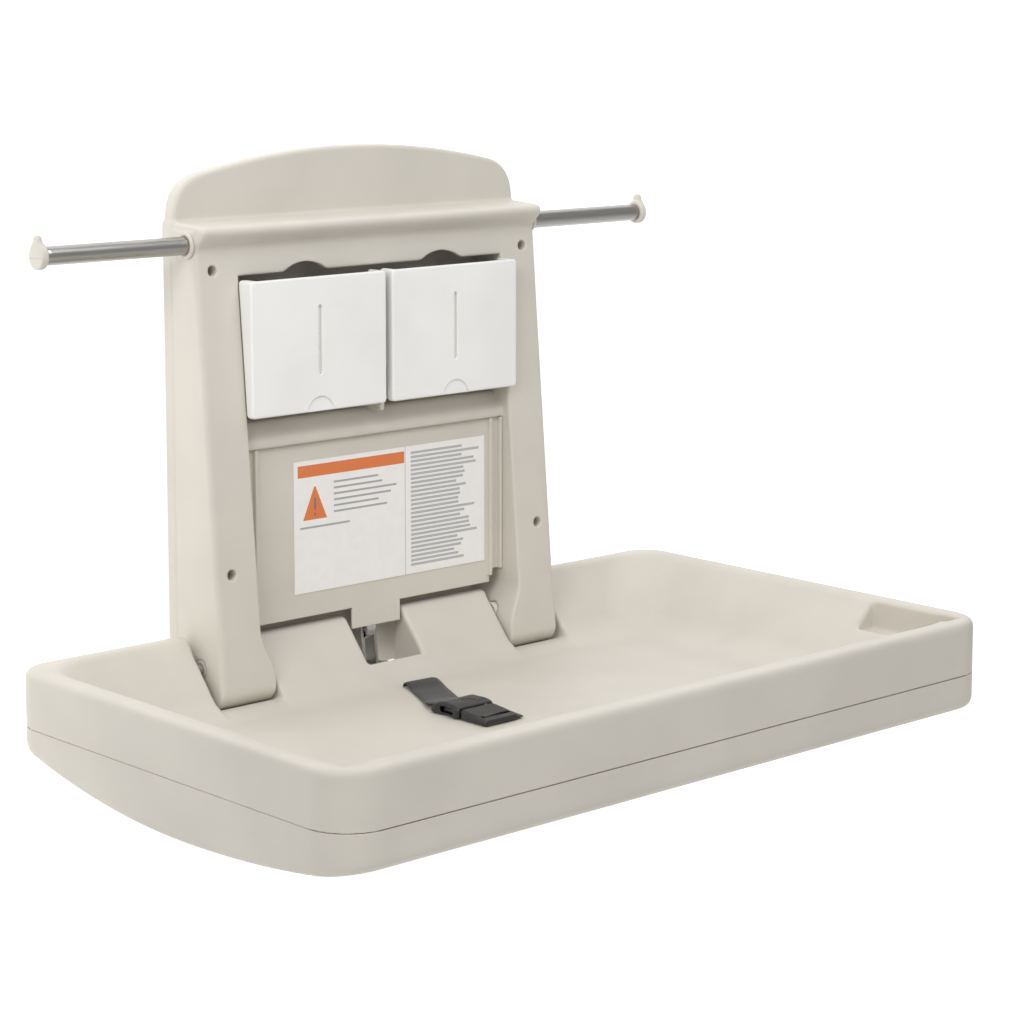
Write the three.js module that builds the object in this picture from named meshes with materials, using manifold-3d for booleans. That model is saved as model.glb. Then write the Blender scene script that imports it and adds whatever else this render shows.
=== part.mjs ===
// Wall-mounted baby changing station, horizontal type, shown with its bed folded down.
// Millimetres. +X is along the bed, +Y goes into the wall, +Z is up.
// The origin lies on the wall plane, level with the outer edge of the bed's rim.
import * as THREE from 'three';
import { mergeVertices } from 'three/addons/utils/BufferGeometryUtils.js';
import Module from 'manifold-3d';

const wasm = await Module();
wasm.setup();

// ---------------------------------------------------------------- driving dimensions
const GAP = 0.3; // between pieces that touch
const RUN = 1.5; // between the fixed unit and the bed that turns round it

// bed
const BED_WIDTH = 845;
const BED_FRONT = 518; // front of the bed from the wall
const BED_BACK = 25; // back of the bed from the wall
const FRONT_CORNER_R = 45;
const BACK_CORNER_R = 36;
const PARTING_DROP = 45; // joint between pan and base, below the rim edge
const FRONT_HEIGHT = 80; // side height at the front
const BACK_HEIGHT = 64;
const BELLY_DEPTH = 101; // lowest line of the belly
const BELLY_Y = -282;
const BASE_EDGE_R = 11;
const PAN_WALL = 3.2;
const BASE_WALL = 3.5;
const RIM_RISE = 9;
const RIM_WIDTH = 22;
const BOWL_DEPTH = 61;
const BOWL_FLOOR_BACK = 122; // back edge of the flat floor, from the wall
const LIP_RISE = 2; // back lip between the feet, above the rim edge

// hinge
const HINGE_Y = -52;
const HINGE_Z = -22;
const PIN_R = 6;
const PIN_HEAD = 3; // how much wider than the pin
const BUSH_R = 9;
const FOOT_R = 44.5;
const FOOT_WIDTH = 67;
const FOOT_PROUD = 1.5; // outer side of a foot, beyond the side of the unit
const FOOT_ROOM = 6.5; // room in the bed on the outer side of a foot
const FOOT_TOP = 24;
const FOOT_APRON = 126; // level floor in front of the feet, where the folded stiles lie

// wall unit
const UNIT_HALF = 222.5;
const STILE_WIDTH = 50.5;
const STILE_DEPTH = 85; // at z = 0
const STILE_LEAN = 0.0845; // the front leans back by this much per mm of height
const UNIT_WALL = 5;
const BACK_PANEL = 12;
const UNIT_BOTTOM = -62;
const LEDGE_UNDER = 32; // ledge below the edge of the bed when it is folded up
const LEDGE_DEPTH = 66;
const LEDGE_HEIGHT = 32;
const ARCH_RISE = 70; // top of the arch above the ledge
const ARCH_R = 872;
const ARCH_DEPTH = 18;
const ARCH_SIDE = 18; // straight side of the arch above the ledge
const ARCH_CORNER = 19;
const SCREW_INSET = 19.3; // wall screws from the side; puts them 16 inches apart
const SCREW_LOW_Z = 73;
const SCREW_UNDER = 43; // upper screws below the ledge
const SCREW_R = 3.3;
const SCREW_HEAD_R = 4.8;
const SCREW_SEAT = 16; // seat of the heads, from the wall
const PLATE_THICK = 2.7;
const PLATE_INSET = 8.5;

// dispensers
const BIN_HEIGHT = 135;
const BIN_IN = 4; // inner side, from the middle of the unit
const BIN_LAP = 2.5; // cover over the stile
const BIN_PROUD = 10.84; // cover in front of the stile, at its lower edge
const BIN_WALL = 2.5;
const BIN_BACK = 29; // back of the bin's mouth behind its front
const BIN_ROD_R = 2.2;
const BIN_SLOT_W = 4.5;
const BIN_SLOT_H = 70;
const THUMB_R = 17;
const HEADER_HEIGHT = 50; // from the ledge down to the dispensers
const NOTCH_WIDTH = 55; // finger notches in the header
const NOTCH_RISE = 9;
const SHELF_HEIGHT = 26;

// label panel
const PANEL_FRONT = 53;
const PANEL_THICK = 3;
const PANEL_BOTTOM = 10;
const PANEL_RIB = 4;
const TAB_HALF = 32;
const TAB_BOTTOM = -12;
const LABEL_EDGE = [65, 23, 25, 18]; // free panel left, right, below and above the label
const LABEL_THICK = 0.5;

// bag bars
const BAR_R = 9;
const BAR_Y = -39.5;
const BAR_UNDER = 18; // below the top of the ledge
const BAR_INSET = 36.5; // end of a bar from the side of the bed
const BAR_ROOT = 22.5; // how far a bar reaches into the stile
const CAP_R = 12.5;
const CAP_LENGTH = 8;
const CAP_TIP = 20;
const COLLAR_WALL = 4;

// gas strut
const STRUT_UNDER = 38; // upper pin below the top of the label panel
const STRUT_EYE = [20, 5]; // lower pin from the bed's hinge, in y and z
const STRUT_R = 9;
const STRUT_FREE = 55; // rod seen between the cylinder and the lower pin
const STRUT_ROD_R = 4;
const STRUT_PIN_R = 3;
const STRUT_LOOSE = 6.2; // play in the rod's eye
const EYE_R = 7;
const EAR_IN = 7; // the two ears of a bracket, from the middle
const EAR_OUT = 10;
const CHANNEL_HALF = 36;
const CHANNEL_R = 37;

// strap and buckle
const STRAP_W = 38;
const STRAP_T = 2.2;
const STRAP_X = -4;
const STRAP_FREE = 95; // from the slit to the buckle
const BUCKLE_X = -45;
const BUCKLE_W = 48;
const SOCKET_LENGTH = 42;
const TONGUE_LENGTH = 38;
const BUCKLE_H = 13.5;
const BUCKLE_WALL = 4;

// screws that hold the base on
const POST_R = 8;
const POST_SIDE = 152.5; // from the side of the bed
const POST_BACK = 190; // back row, from the wall
const POST_FRONT = 118; // front row, from the front of the bed
const TIE_R = 2;
const TIE_HEAD_R = 5;
const TIE_LENGTH = 14;

// ---------------------------------------------------------------- values that follow
const HX = BED_WIDTH / 2;
const FLOOR_Z = -BOWL_DEPTH;
const stileFront = (z) => -(STILE_DEPTH - STILE_LEAN * z);

// where a height on the unit lies on the bed when it is folded up
const foldedY = (z) => HINGE_Y + HINGE_Z - z;

const bellyZ = (y) => {
  const front = y < BELLY_Y;
  const end = front ? -BED_FRONT : -BED_BACK;
  const rise = BELLY_DEPTH - (front ? FRONT_HEIGHT : BACK_HEIGHT);
  return -BELLY_DEPTH + rise * ((y - BELLY_Y) / (end - BELLY_Y)) ** 2;
};

const STILE_IN = UNIT_HALF - STILE_WIDTH;
const FOOT_OUT = UNIT_HALF + FOOT_PROUD;
const FOOT_IN = FOOT_OUT - FOOT_WIDTH;
const FOOT_MIDDLE = (FOOT_IN + FOOT_OUT) / 2;
const FOOT_REACH = FOOT_WIDTH / 2 + 26.5; // bores through a foot and both sides of its notch
const LEDGE_Z = BED_FRONT + HINGE_Y + HINGE_Z - LEDGE_UNDER;
const STUD_X = UNIT_HALF - SCREW_INSET;
const STUD_Z = [SCREW_LOW_Z, LEDGE_Z - SCREW_UNDER];
const PLATE_HALF = UNIT_HALF - PLATE_INSET;

const HEADER_Z = LEDGE_Z - HEADER_HEIGHT;
const BIN_TOP = HEADER_Z - 4;
const BIN_BOTTOM = BIN_TOP - BIN_HEIGHT;
const BIN_OUT = STILE_IN + BIN_LAP;
const BIN_MIDDLE = (BIN_IN + BIN_OUT) / 2;
const BIN_FRONT = BIN_PROUD - stileFront(BIN_BOTTOM);
const BIN_PIVOT_Y = 17 - BIN_FRONT;
const BIN_PIVOT_Z = BIN_BOTTOM + 6;
const SHELF_Z = BIN_BOTTOM - 9;
const PANEL_TOP = SHELF_Z - SHELF_HEIGHT;

const BAR_Z = LEDGE_Z - BAR_UNDER;
const BAR_END = HX - BAR_INSET;

const EYE_Y = HINGE_Y + STRUT_EYE[0];
const EYE_Z = HINGE_Z + STRUT_EYE[1];
const STRUT_TOP_Z = PANEL_TOP - STRUT_UNDER;
const STRUT_BOTTOM_Z = EYE_Z + STRUT_FREE;

const STRAP_Y = 1 - BOWL_FLOOR_BACK;
const BUCKLE_BACK = STRAP_Y - STRAP_FREE;
const BUCKLE_SPLIT = BUCKLE_BACK - SOCKET_LENGTH;
const BUCKLE_END = BUCKLE_SPLIT - TONGUE_LENGTH;
const POSTS = [
  [POST_SIDE - HX, -POST_BACK], [HX - POST_SIDE, -POST_BACK],
  [POST_SIDE - HX, POST_FRONT - BED_FRONT], [HX - POST_SIDE, POST_FRONT - BED_FRONT],
  [0, -POST_BACK], [0, POST_FRONT - BED_FRONT - 20]];

// ---------------------------------------------------------------- shape helpers
const toSolid = (geometry) => {
  geometry.deleteAttribute('normal');
  geometry.deleteAttribute('uv');
  const merged = mergeVertices(geometry, 1e-4);
  return new wasm.Manifold(new wasm.Mesh({
    numProp: 3,
    vertProperties: new Float32Array(merged.attributes.position.array),
    triVerts: new Uint32Array(merged.index.array),
  }));
};

const toGeometry = (solid) => {
  const { vertProperties, triVerts } = solid.getMesh();
  const geometry = new THREE.BufferGeometry();
  geometry.setAttribute('position', new THREE.BufferAttribute(new Float32Array(vertProperties), 3));
  geometry.setIndex(new THREE.BufferAttribute(new Uint32Array(triVerts), 1));
  geometry.computeVertexNormals();
  return geometry;
};

const join = (first, ...rest) => rest.reduce((all, piece) => all.add(piece), first);
const cut = (first, ...rest) => rest.reduce((left, piece) => left.subtract(piece), first);

const box = (x0, x1, y0, y1, z0, z1) => {
  const geometry = new THREE.BoxGeometry(x1 - x0, y1 - y0, z1 - z0);
  geometry.translate((x0 + x1) / 2, (y0 + y1) / 2, (z0 + z1) / 2);
  return toSolid(geometry);
};

// a round bar along one axis, centred on the other two coordinates
const bar = (axis, a, b, from, to, r, sides = 24) => {
  const geometry = new THREE.CylinderGeometry(r, r, to - from, sides);
  const middle = (from + to) / 2;
  if (axis === 'x') {
    geometry.rotateZ(-Math.PI / 2);
    geometry.translate(middle, a, b);
  } else if (axis === 'y') {
    geometry.translate(a, middle, b);
  } else {
    geometry.rotateX(Math.PI / 2);
    geometry.translate(a, b, middle);
  }
  return toSolid(geometry);
};

const shapeOf = (points) => new THREE.Shape(points.map(([a, b]) => new THREE.Vector2(a, b)));
const extrude = (shape, depth) => new THREE.ExtrudeGeometry(
  shape, { depth, bevelEnabled: false, curveSegments: 16 });

// side outlines are in y and z and run along x; front outlines are in x and z and run along y
const alongX = (points, x0, x1) => {
  const geometry = extrude(points instanceof THREE.Shape ? points : shapeOf(points), x1 - x0);
  const turn = new THREE.Matrix4().makeBasis(
    new THREE.Vector3(0, 1, 0), new THREE.Vector3(0, 0, 1), new THREE.Vector3(1, 0, 0));
  geometry.applyMatrix4(turn.setPosition(x0, 0, 0));
  return toSolid(geometry);
};
const alongY = (shape, y0, y1) => {
  const geometry = extrude(shape, y1 - y0);
  const turn = new THREE.Matrix4().makeBasis(
    new THREE.Vector3(1, 0, 0), new THREE.Vector3(0, 0, 1), new THREE.Vector3(0, -1, 0));
  geometry.applyMatrix4(turn.setPosition(0, y1, 0));
  return toSolid(geometry);
};
const alongZ = (points, z0, z1) => {
  const geometry = extrude(shapeOf(points), z1 - z0);
  geometry.translate(0, 0, z0);
  return toSolid(geometry);
};

const mirrorX = (side, from, to) => (side > 0 ? [from, to] : [-to, -from]);

const arcPoints = (cy, cz, r, fromDeg, toDeg, steps) => Array.from({ length: steps + 1 }, (_, i) => {
  const angle = THREE.MathUtils.degToRad(fromDeg + (toDeg - fromDeg) * i / steps);
  return [cy + r * Math.cos(angle), cz + r * Math.sin(angle)];
});

// one ring of a loft: a rounded rectangle seen from above, point i mirroring point N - 1 - i
const CORNER_STEPS = 5;
const SIDE_STEPS = 7;
const ring = (hx, yFront, yBack, rFront, rBack, height) => {
  const right = [];
  const corner = (cy, r, from) => {
    for (let i = 0; i <= CORNER_STEPS; i += 1) {
      const angle = from + (Math.PI / 2) * (i / CORNER_STEPS);
      right.push([hx - r + r * Math.cos(angle), cy + r * Math.sin(angle)]);
    }
  };
  corner(yFront + rFront, rFront, -Math.PI / 2);
  for (let i = 1; i < SIDE_STEPS; i += 1) {
    right.push([hx, yFront + rFront + (yBack - rBack - yFront - rFront) * (i / SIDE_STEPS)]);
  }
  corner(yBack - rBack, rBack, 0);
  const left = right.map(([x, y]) => [-x, y]).reverse();
  return [...right, ...left].map(([x, y]) => [x, y, typeof height === 'function' ? height(y) : height]);
};

const loft = (rings) => {
  const count = rings[0].length;
  const triangles = [];
  rings.forEach((lower, k) => {
    const upper = rings[k + 1];
    if (!upper) return;
    for (let i = 0; i < count; i += 1) {
      const next = (i + 1) % count;
      triangles.push(lower[i], lower[next], upper[next], lower[i], upper[next], upper[i]);
    }
  });
  const bottom = rings[0];
  const top = rings[rings.length - 1];
  for (let i = 0; i < count / 2 - 1; i += 1) {
    const mirror = count - 1 - i;
    triangles.push(top[i], top[i + 1], top[mirror - 1], top[i], top[mirror - 1], top[mirror]);
    triangles.push(bottom[i], bottom[mirror - 1], bottom[i + 1]);
    triangles.push(bottom[i], bottom[mirror], bottom[mirror - 1]);
  }
  const geometry = new THREE.BufferGeometry();
  geometry.setAttribute('position', new THREE.Float32BufferAttribute(triangles.flat(), 3));
  return toSolid(geometry);
};

const outline = (inset, height) => ring(
  HX - inset, -BED_FRONT + inset, -BED_BACK - inset,
  FRONT_CORNER_R - inset * 0.8, BACK_CORNER_R - inset * 0.8, height);

// ---------------------------------------------------------------- bed: spaces cut out of it
// each space comes in its true size, and grown by a wall
// each row: share of the bowl's depth, then how far in from the side, the front and the
// floor's back edge, and the corner radius at the front and at the back
const BOWL_ROWS = [
  [1, 110.5, 52, 0, 60, 60],
  [0.95, 96.5, 42, 9, 50, 50],
  [0.82, 82.5, 34, 19, 42, 46],
  [0.575, 64.5, 28, 32, 36, 42],
  [0.33, 46.5, 26, 45, 32, 38],
  [0.12, 30.5, 24.5, 60, 30, 32],
];
const bowlSpace = (grow) => {
  const rows = BOWL_ROWS.map(([share, side, front, back, rFront, rBack]) => ring(
    HX - side + grow, front - BED_FRONT - grow, back - BOWL_FLOOR_BACK + grow,
    rFront, rBack, -BOWL_DEPTH * share - grow));
  const mouth = [[1, 74, RIM_RISE - 2], [-3, 77, RIM_RISE + 4]].map(([inset, back, z]) => ring(
    HX - RIM_WIDTH - inset + grow, RIM_WIDTH + inset - BED_FRONT - grow,
    back - BOWL_FLOOR_BACK + grow, 28, 26, z));
  return loft([...rows, ...mouth]);
};

const quarter = (r) => [
  ...arcPoints(HINGE_Y, HINGE_Z, r, 180, 270, 10), [0, HINGE_Z - r], [0, 40], [HINGE_Y - r, 40]];

const footSpace = (side, grow) => {
  const [x0, x1] = mirrorX(side, FOOT_IN - RUN - grow, FOOT_OUT + FOOT_ROOM + grow);
  return join(
    alongX(quarter(FOOT_R + RUN + grow), x0, x1),
    box(x0, x1, -FOOT_APRON - grow, HINGE_Y, -STILE_DEPTH + HINGE_Z - HINGE_Y - RUN - grow, 40));
};

const channelSpace = (grow) => alongX(quarter(CHANNEL_R + grow), -CHANNEL_HALF - grow, CHANNEL_HALF + grow);

const lipBack = HINGE_Y + 16;
const lipSpace = (side, grow) => {
  const [x0, x1] = mirrorX(side, CHANNEL_HALF - 1, FOOT_IN - RUN + 1);
  return join(
    box(x0, x1, HINGE_Y - 18, 0, LIP_RISE - grow, 40),
    box(x0, x1, lipBack - grow, 0, -90, 40));
};

const barPocket = (side, grow) => {
  const [x0, x1] = mirrorX(side, BAR_END - 10 - grow, HX - RIM_WIDTH + 1 + grow);
  const back = foldedY(BAR_Z) + 86;
  return box(x0, x1, -BED_FRONT + RIM_WIDTH - grow, back + grow, -24 - grow, 40);
};

const bedSpaces = (grow) => join(
  bowlSpace(grow), channelSpace(grow),
  ...[-1, 1].flatMap((side) => [footSpace(side, grow), lipSpace(side, grow), barPocket(side, grow)]));

const baseOuter = (inset, lift, top) => {
  const steps = [0, 30, 60, 90].map((degrees) => THREE.MathUtils.degToRad(degrees)).reverse();
  const edge = steps.map((angle) => outline(
    inset + BASE_EDGE_R * (1 - Math.cos(angle)),
    (y) => bellyZ(y) + lift + BASE_EDGE_R * (1 - Math.sin(angle))));
  return loft([...edge, outline(inset, top)]);
};

const post = ([x, y], r, from, to) => bar('z', x, y, from, to, r, 16);

const hingeBore = (side, r) => bar(
  'x', HINGE_Y, HINGE_Z, side * FOOT_MIDDLE - FOOT_REACH, side * FOOT_MIDDLE + FOOT_REACH, r);

// ---------------------------------------------------------------- bed pieces
const bedPan = () => {
  const skin = loft([
    outline(0, -PARTING_DROP), outline(0, 1), outline(0.8, RIM_RISE - 5),
    outline(3, RIM_RISE - 2.2), outline(8, RIM_RISE - 0.4), outline(13, RIM_RISE)]);
  const hollow = loft([
    outline(PAN_WALL, -PARTING_DROP - 5), outline(PAN_WALL, 1), outline(PAN_WALL + 3, 4),
    outline(13, RIM_RISE - PAN_WALL)]);
  const whole = join(skin, baseOuter(BASE_WALL + GAP, BASE_WALL + GAP, -PARTING_DROP + 1));
  const posts = POSTS.map((at) => post(at, POST_R, -BELLY_DEPTH, FLOOR_Z - 1).intersect(whole));
  const bores = POSTS.map((at) => post(at, TIE_R + GAP, -BELLY_DEPTH - 5, FLOOR_Z - PAN_WALL - 2));
  const half = STRAP_W / 2 + 1;
  return cut(
    join(skin.subtract(hollow), bedSpaces(PAN_WALL).intersect(whole), ...posts),
    bedSpaces(0), ...bores,
    box(STRAP_X - half, STRAP_X + half, STRAP_Y - 2.5, STRAP_Y + 2.5, FLOOR_Z - 20, FLOOR_Z + 20),
    ...[-1, 1].map((side) => hingeBore(side, PIN_R + GAP)));
};

const bedBase = () => {
  const shell = baseOuter(0, 0, -PARTING_DROP - GAP).subtract(baseOuter(BASE_WALL, BASE_WALL, 20));
  return cut(
    shell, bedSpaces(PAN_WALL + GAP),
    ...POSTS.map((at) => post(at, TIE_R + GAP, -BELLY_DEPTH - 5, -PARTING_DROP)));
};

const tieScrew = ([x, y]) => {
  const seat = bellyZ(y) - GAP - 0.4;
  return join(
    post([x, y], TIE_HEAD_R, seat - 2.5, seat), post([x, y], TIE_R, seat - 1, seat + TIE_LENGTH));
};

const hingePin = (side) => {
  const inner = FOOT_IN - RUN - PAN_WALL - 1;
  const outer = FOOT_OUT + FOOT_ROOM + PAN_WALL + 4;
  return join(
    bar('x', HINGE_Y, HINGE_Z, ...mirrorX(side, inner - 2, outer), PIN_R),
    bar('x', HINGE_Y, HINGE_Z, ...mirrorX(side, inner - 3, inner), PIN_R + PIN_HEAD));
};

const channelFloor = HINGE_Z - CHANNEL_R;
const strutBracketLower = () => {
  const ear = (x0, x1) => alongX([
    [EYE_Y - 12, channelFloor + 1], [EYE_Y + 6, channelFloor + 1],
    ...arcPoints(EYE_Y, EYE_Z, EYE_R, -10, 190, 10)], x0, x1);
  return cut(
    join(
      box(-18, 18, EYE_Y - 14, EYE_Y + 6, channelFloor + GAP, channelFloor + 3),
      ear(-EAR_OUT, -EAR_IN), ear(EAR_IN, EAR_OUT)),
    bar('x', EYE_Y, EYE_Z, -20, 20, STRUT_PIN_R + 0.05));
};

const strutPinLower = () => join(
  bar('x', EYE_Y, EYE_Z, -EAR_OUT - 2, EAR_OUT + 2, STRUT_PIN_R, 16),
  bar('x', EYE_Y, EYE_Z, EAR_OUT + GAP, EAR_OUT + 2.5, STRUT_PIN_R + 2, 16));

const strap = () => {
  const half = STRAP_W / 2;
  const low = FLOOR_Z + GAP;
  return join(
    alongZ([
      [STRAP_X - half, STRAP_Y + 1], [BUCKLE_X - half, BUCKLE_BACK + GAP],
      [BUCKLE_X + half, BUCKLE_BACK + GAP], [STRAP_X + half, STRAP_Y + 1]], low, low + STRAP_T),
    box(STRAP_X - half, STRAP_X + half, STRAP_Y - 1, STRAP_Y + 1, FLOOR_Z - 7, low + STRAP_T));
};

const strapAnchor = () => {
  const half = STRAP_W / 2 + 8;
  const top = FLOOR_Z - PAN_WALL - GAP;
  return cut(
    box(STRAP_X - half, STRAP_X + half, STRAP_Y - 12, STRAP_Y + 12, top - 3, top),
    box(STRAP_X - half + 6, STRAP_X + half - 6, STRAP_Y - 1.4, STRAP_Y + 1.4, top - 10, top + 5));
};

const buckleLow = FLOOR_Z + GAP;
const buckleSocket = () => {
  const half = BUCKLE_W / 2;
  const body = alongX([
    [BUCKLE_BACK, buckleLow], [BUCKLE_BACK, buckleLow + 6], [BUCKLE_BACK - 10, buckleLow + BUCKLE_H],
    [BUCKLE_SPLIT + 6, buckleLow + BUCKLE_H], [BUCKLE_SPLIT, buckleLow + BUCKLE_H - 2.5],
    [BUCKLE_SPLIT, buckleLow]], BUCKLE_X - half, BUCKLE_X + half);
  return body.subtract(box(
    BUCKLE_X - half + BUCKLE_WALL, BUCKLE_X + half - BUCKLE_WALL, BUCKLE_SPLIT - 1, BUCKLE_BACK - 10,
    buckleLow + 2.5, buckleLow + BUCKLE_H - 4.5));
};

const buckleTongue = () => {
  const half = BUCKLE_W / 2 - 2;
  const head = alongX([
    [BUCKLE_SPLIT - GAP, buckleLow], [BUCKLE_SPLIT - GAP, buckleLow + BUCKLE_H - 3],
    [BUCKLE_SPLIT - 14, buckleLow + BUCKLE_H - 3.5], [BUCKLE_END, buckleLow + 6],
    [BUCKLE_END, buckleLow]], BUCKLE_X - half, BUCKLE_X + half);
  const prong = (x0, x1) => box(
    x0, x1, BUCKLE_SPLIT - 4, BUCKLE_BACK - 14, buckleLow + 3.2, buckleLow + BUCKLE_H - 5.2);
  const web = box(
    BUCKLE_X - 15, BUCKLE_X + 15, BUCKLE_END + 8, BUCKLE_END + 12, buckleLow - 1, buckleLow + BUCKLE_H);
  return join(head, prong(BUCKLE_X - 17, BUCKLE_X - 11), prong(BUCKLE_X + 11, BUCKLE_X + 17)).subtract(web);
};

const strapTail = () => {
  const edge = BUCKLE_X + BUCKLE_W / 2 - 2 + GAP;
  return alongZ([
    [edge, BUCKLE_END - 1], [edge + 9, BUCKLE_END + 8], [edge + 5, BUCKLE_END + 30],
    [edge, BUCKLE_END + 34],
  ], buckleLow, buckleLow + STRAP_T);
};

// ---------------------------------------------------------------- wall unit pieces
const archShape = () => {
  const shoulderX = UNIT_HALF - ARCH_CORNER;
  const sideTop = LEDGE_Z + ARCH_SIDE;
  const centre = LEDGE_Z + ARCH_RISE - ARCH_R;
  const start = Math.acos(shoulderX / ARCH_R);
  const shape = new THREE.Shape();
  shape.moveTo(-UNIT_HALF, LEDGE_Z - 20);
  shape.lineTo(UNIT_HALF, LEDGE_Z - 20);
  shape.lineTo(UNIT_HALF, sideTop);
  shape.quadraticCurveTo(UNIT_HALF, sideTop + 22, shoulderX, centre + ARCH_R * Math.sin(start));
  shape.absarc(0, centre, ARCH_R, start, Math.PI - start, false);
  shape.quadraticCurveTo(-UNIT_HALF, sideTop + 22, -UNIT_HALF, sideTop);
  return shape;
};

const stile = (side) => {
  const [x0, x1] = mirrorX(side, STILE_IN, UNIT_HALF);
  return alongX([
    [0, HINGE_Z], [stileFront(HINGE_Z), HINGE_Z], [stileFront(LEDGE_Z - 8), LEDGE_Z - 8],
    [0, LEDGE_Z - 8]], x0, x1);
};

const foot = (side) => {
  const [x0, x1] = mirrorX(side, FOOT_IN, FOOT_OUT);
  return alongX([
    [0, FOOT_TOP], [HINGE_Y - 10, FOOT_TOP], ...arcPoints(HINGE_Y, HINGE_Z, FOOT_R, 100, 270, 18),
    [-8, HINGE_Z - FOOT_R + 6], [0, HINGE_Z - FOOT_R + 14]], x0, x1);
};

const ledge = () => alongX([
  [0, LEDGE_Z - LEDGE_HEIGHT], [38 - LEDGE_DEPTH, LEDGE_Z - LEDGE_HEIGHT + 2],
  [20 - LEDGE_DEPTH, LEDGE_Z - LEDGE_HEIGHT + 10], [3 - LEDGE_DEPTH, LEDGE_Z - 10],
  [-LEDGE_DEPTH, LEDGE_Z - 5], [-LEDGE_DEPTH + 1, LEDGE_Z], [-ARCH_DEPTH, LEDGE_Z + 4], [0, LEDGE_Z + 4],
], -UNIT_HALF, UNIT_HALF);

const header = () => {
  const front = stileFront(HEADER_Z);
  const piece = alongX([
    [-BACK_PANEL + 1, HEADER_Z], [front, HEADER_Z], [front + 1.5, LEDGE_Z - 26],
    [-BACK_PANEL + 1, LEDGE_Z - 26]], -STILE_IN - 1, STILE_IN + 1);
  const r = (NOTCH_WIDTH ** 2 / 4 + NOTCH_RISE ** 2) / (2 * NOTCH_RISE);
  return cut(
    piece, box(-STILE_IN + 4, STILE_IN - 4, front + 6, -BACK_PANEL, HEADER_Z - 1, LEDGE_Z - 29),
    ...[-1, 1].map((side) => bar(
      'y', side * BIN_MIDDLE, HEADER_Z + NOTCH_RISE - r, front - 5, front + 8, r, 64)));
};

const shelf = () => alongX([
  [-BACK_PANEL + 1, SHELF_Z], [11 - PANEL_FRONT, SHELF_Z],
  [-PANEL_FRONT - 5, PANEL_TOP + 8], [-PANEL_FRONT - 5, PANEL_TOP + GAP],
  [-BACK_PANEL + 1, PANEL_TOP + GAP]], -STILE_IN - 1, STILE_IN + 1);

const binBore = (side) => bar(
  'x', BIN_PIVOT_Y, BIN_PIVOT_Z,
  ...mirrorX(side, -2, STILE_IN + 2 * UNIT_WALL), BIN_ROD_R + GAP, 16);

const backHousing = () => {
  const shell = join(
    box(-UNIT_HALF, UNIT_HALF, -BACK_PANEL, 0, UNIT_BOTTOM, LEDGE_Z),
    alongY(archShape(), -ARCH_DEPTH, 0), ledge(), header(), shelf(),
    box(-BIN_IN + 1, BIN_IN - 1, BIN_PIVOT_Y - 5, -BACK_PANEL + 1, SHELF_Z - 1, BIN_PIVOT_Z + 10),
    ...[-1, 1].flatMap((side) => [stile(side), foot(side)]));
  const pockets = [-1, 1].map((side) => {
    const [x0, x1] = mirrorX(side, STILE_IN + UNIT_WALL, UNIT_HALF - UNIT_WALL);
    return alongX([
      [1, 30], [stileFront(30) + UNIT_WALL, 30],
      [stileFront(LEDGE_Z - 36) + UNIT_WALL, LEDGE_Z - 36], [1, LEDGE_Z - 36]], x0, x1);
  });
  const studs = [-1, 1].flatMap((side) => STUD_Z.map((z) => [side * STUD_X, z]));
  const bosses = studs.map(([x, z]) => bar('y', x, z, stileFront(z) + 1, -1, SCREW_HEAD_R + 4.2, 20));
  const drilled = studs.flatMap(([x, z]) => [
    bar('y', x, z, stileFront(z) - 5, -SCREW_SEAT, SCREW_HEAD_R + 0.4, 20),
    bar('y', x, z, -SCREW_SEAT - 4, 2, SCREW_R + 0.4, 16)]);
  return cut(
    join(cut(shell, ...pockets), ...bosses),
    box(-PLATE_HALF, PLATE_HALF, -PLATE_THICK - GAP, 1, UNIT_BOTTOM + 4, LEDGE_Z - 4),
    ...drilled,
    ...[-1, 1].flatMap((side) => [
      hingeBore(side, BUSH_R + GAP),
      bar('x', BAR_Y, BAR_Z, ...mirrorX(side, UNIT_HALF - BAR_ROOT - 1, UNIT_HALF + 18), BAR_R + GAP),
      binBore(side)]));
};

const wallPlate = () => {
  const edge = GAP + 0.2;
  const window = STILE_IN - 22;
  return cut(
    box(edge - PLATE_HALF, PLATE_HALF - edge, -PLATE_THICK, 0,
      UNIT_BOTTOM + 4 + edge, LEDGE_Z - 4 - edge),
    box(-window, window, -9, 9, 40, PANEL_TOP - 68),
    box(-window, window, -9, 9, PANEL_TOP - 8, LEDGE_Z - 42),
    ...[-1, 1].flatMap((side) => STUD_Z.map(
      (z) => bar('y', side * STUD_X, z, -9, 9, SCREW_R + 0.7, 16))));
};

const wallScrew = (x, z) => join(
  bar('y', x, z, -SCREW_SEAT - 3.5, -SCREW_SEAT - GAP, SCREW_HEAD_R, 16),
  bar('y', x, z, -SCREW_SEAT - 2, -0.5, SCREW_R, 12));

const labelPanel = () => {
  const edge = STILE_IN - GAP;
  const back = -PANEL_FRONT + PANEL_THICK;
  const sheet = join(
    box(-edge, edge, -PANEL_FRONT, back, PANEL_BOTTOM, PANEL_TOP),
    box(-TAB_HALF, TAB_HALF, -PANEL_FRONT, back, TAB_BOTTOM, PANEL_BOTTOM + 1));
  const ribs = [-1, 1].flatMap((side) => [PANEL_RIB, PANEL_RIB + 14].map((inset) => box(
    ...mirrorX(side, edge - inset, edge - inset + PANEL_RIB),
    -PANEL_FRONT - 5, back, PANEL_BOTTOM + 8, PANEL_TOP)));
  const feet = [-1, 1].map((side) => box(
    ...mirrorX(side, FOOT_IN - GAP, STILE_IN + 1),
    -PANEL_FRONT - 9, back + 1, PANEL_BOTTOM - 1, FOOT_TOP + GAP));
  return cut(join(sheet, ...ribs), ...feet);
};

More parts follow.
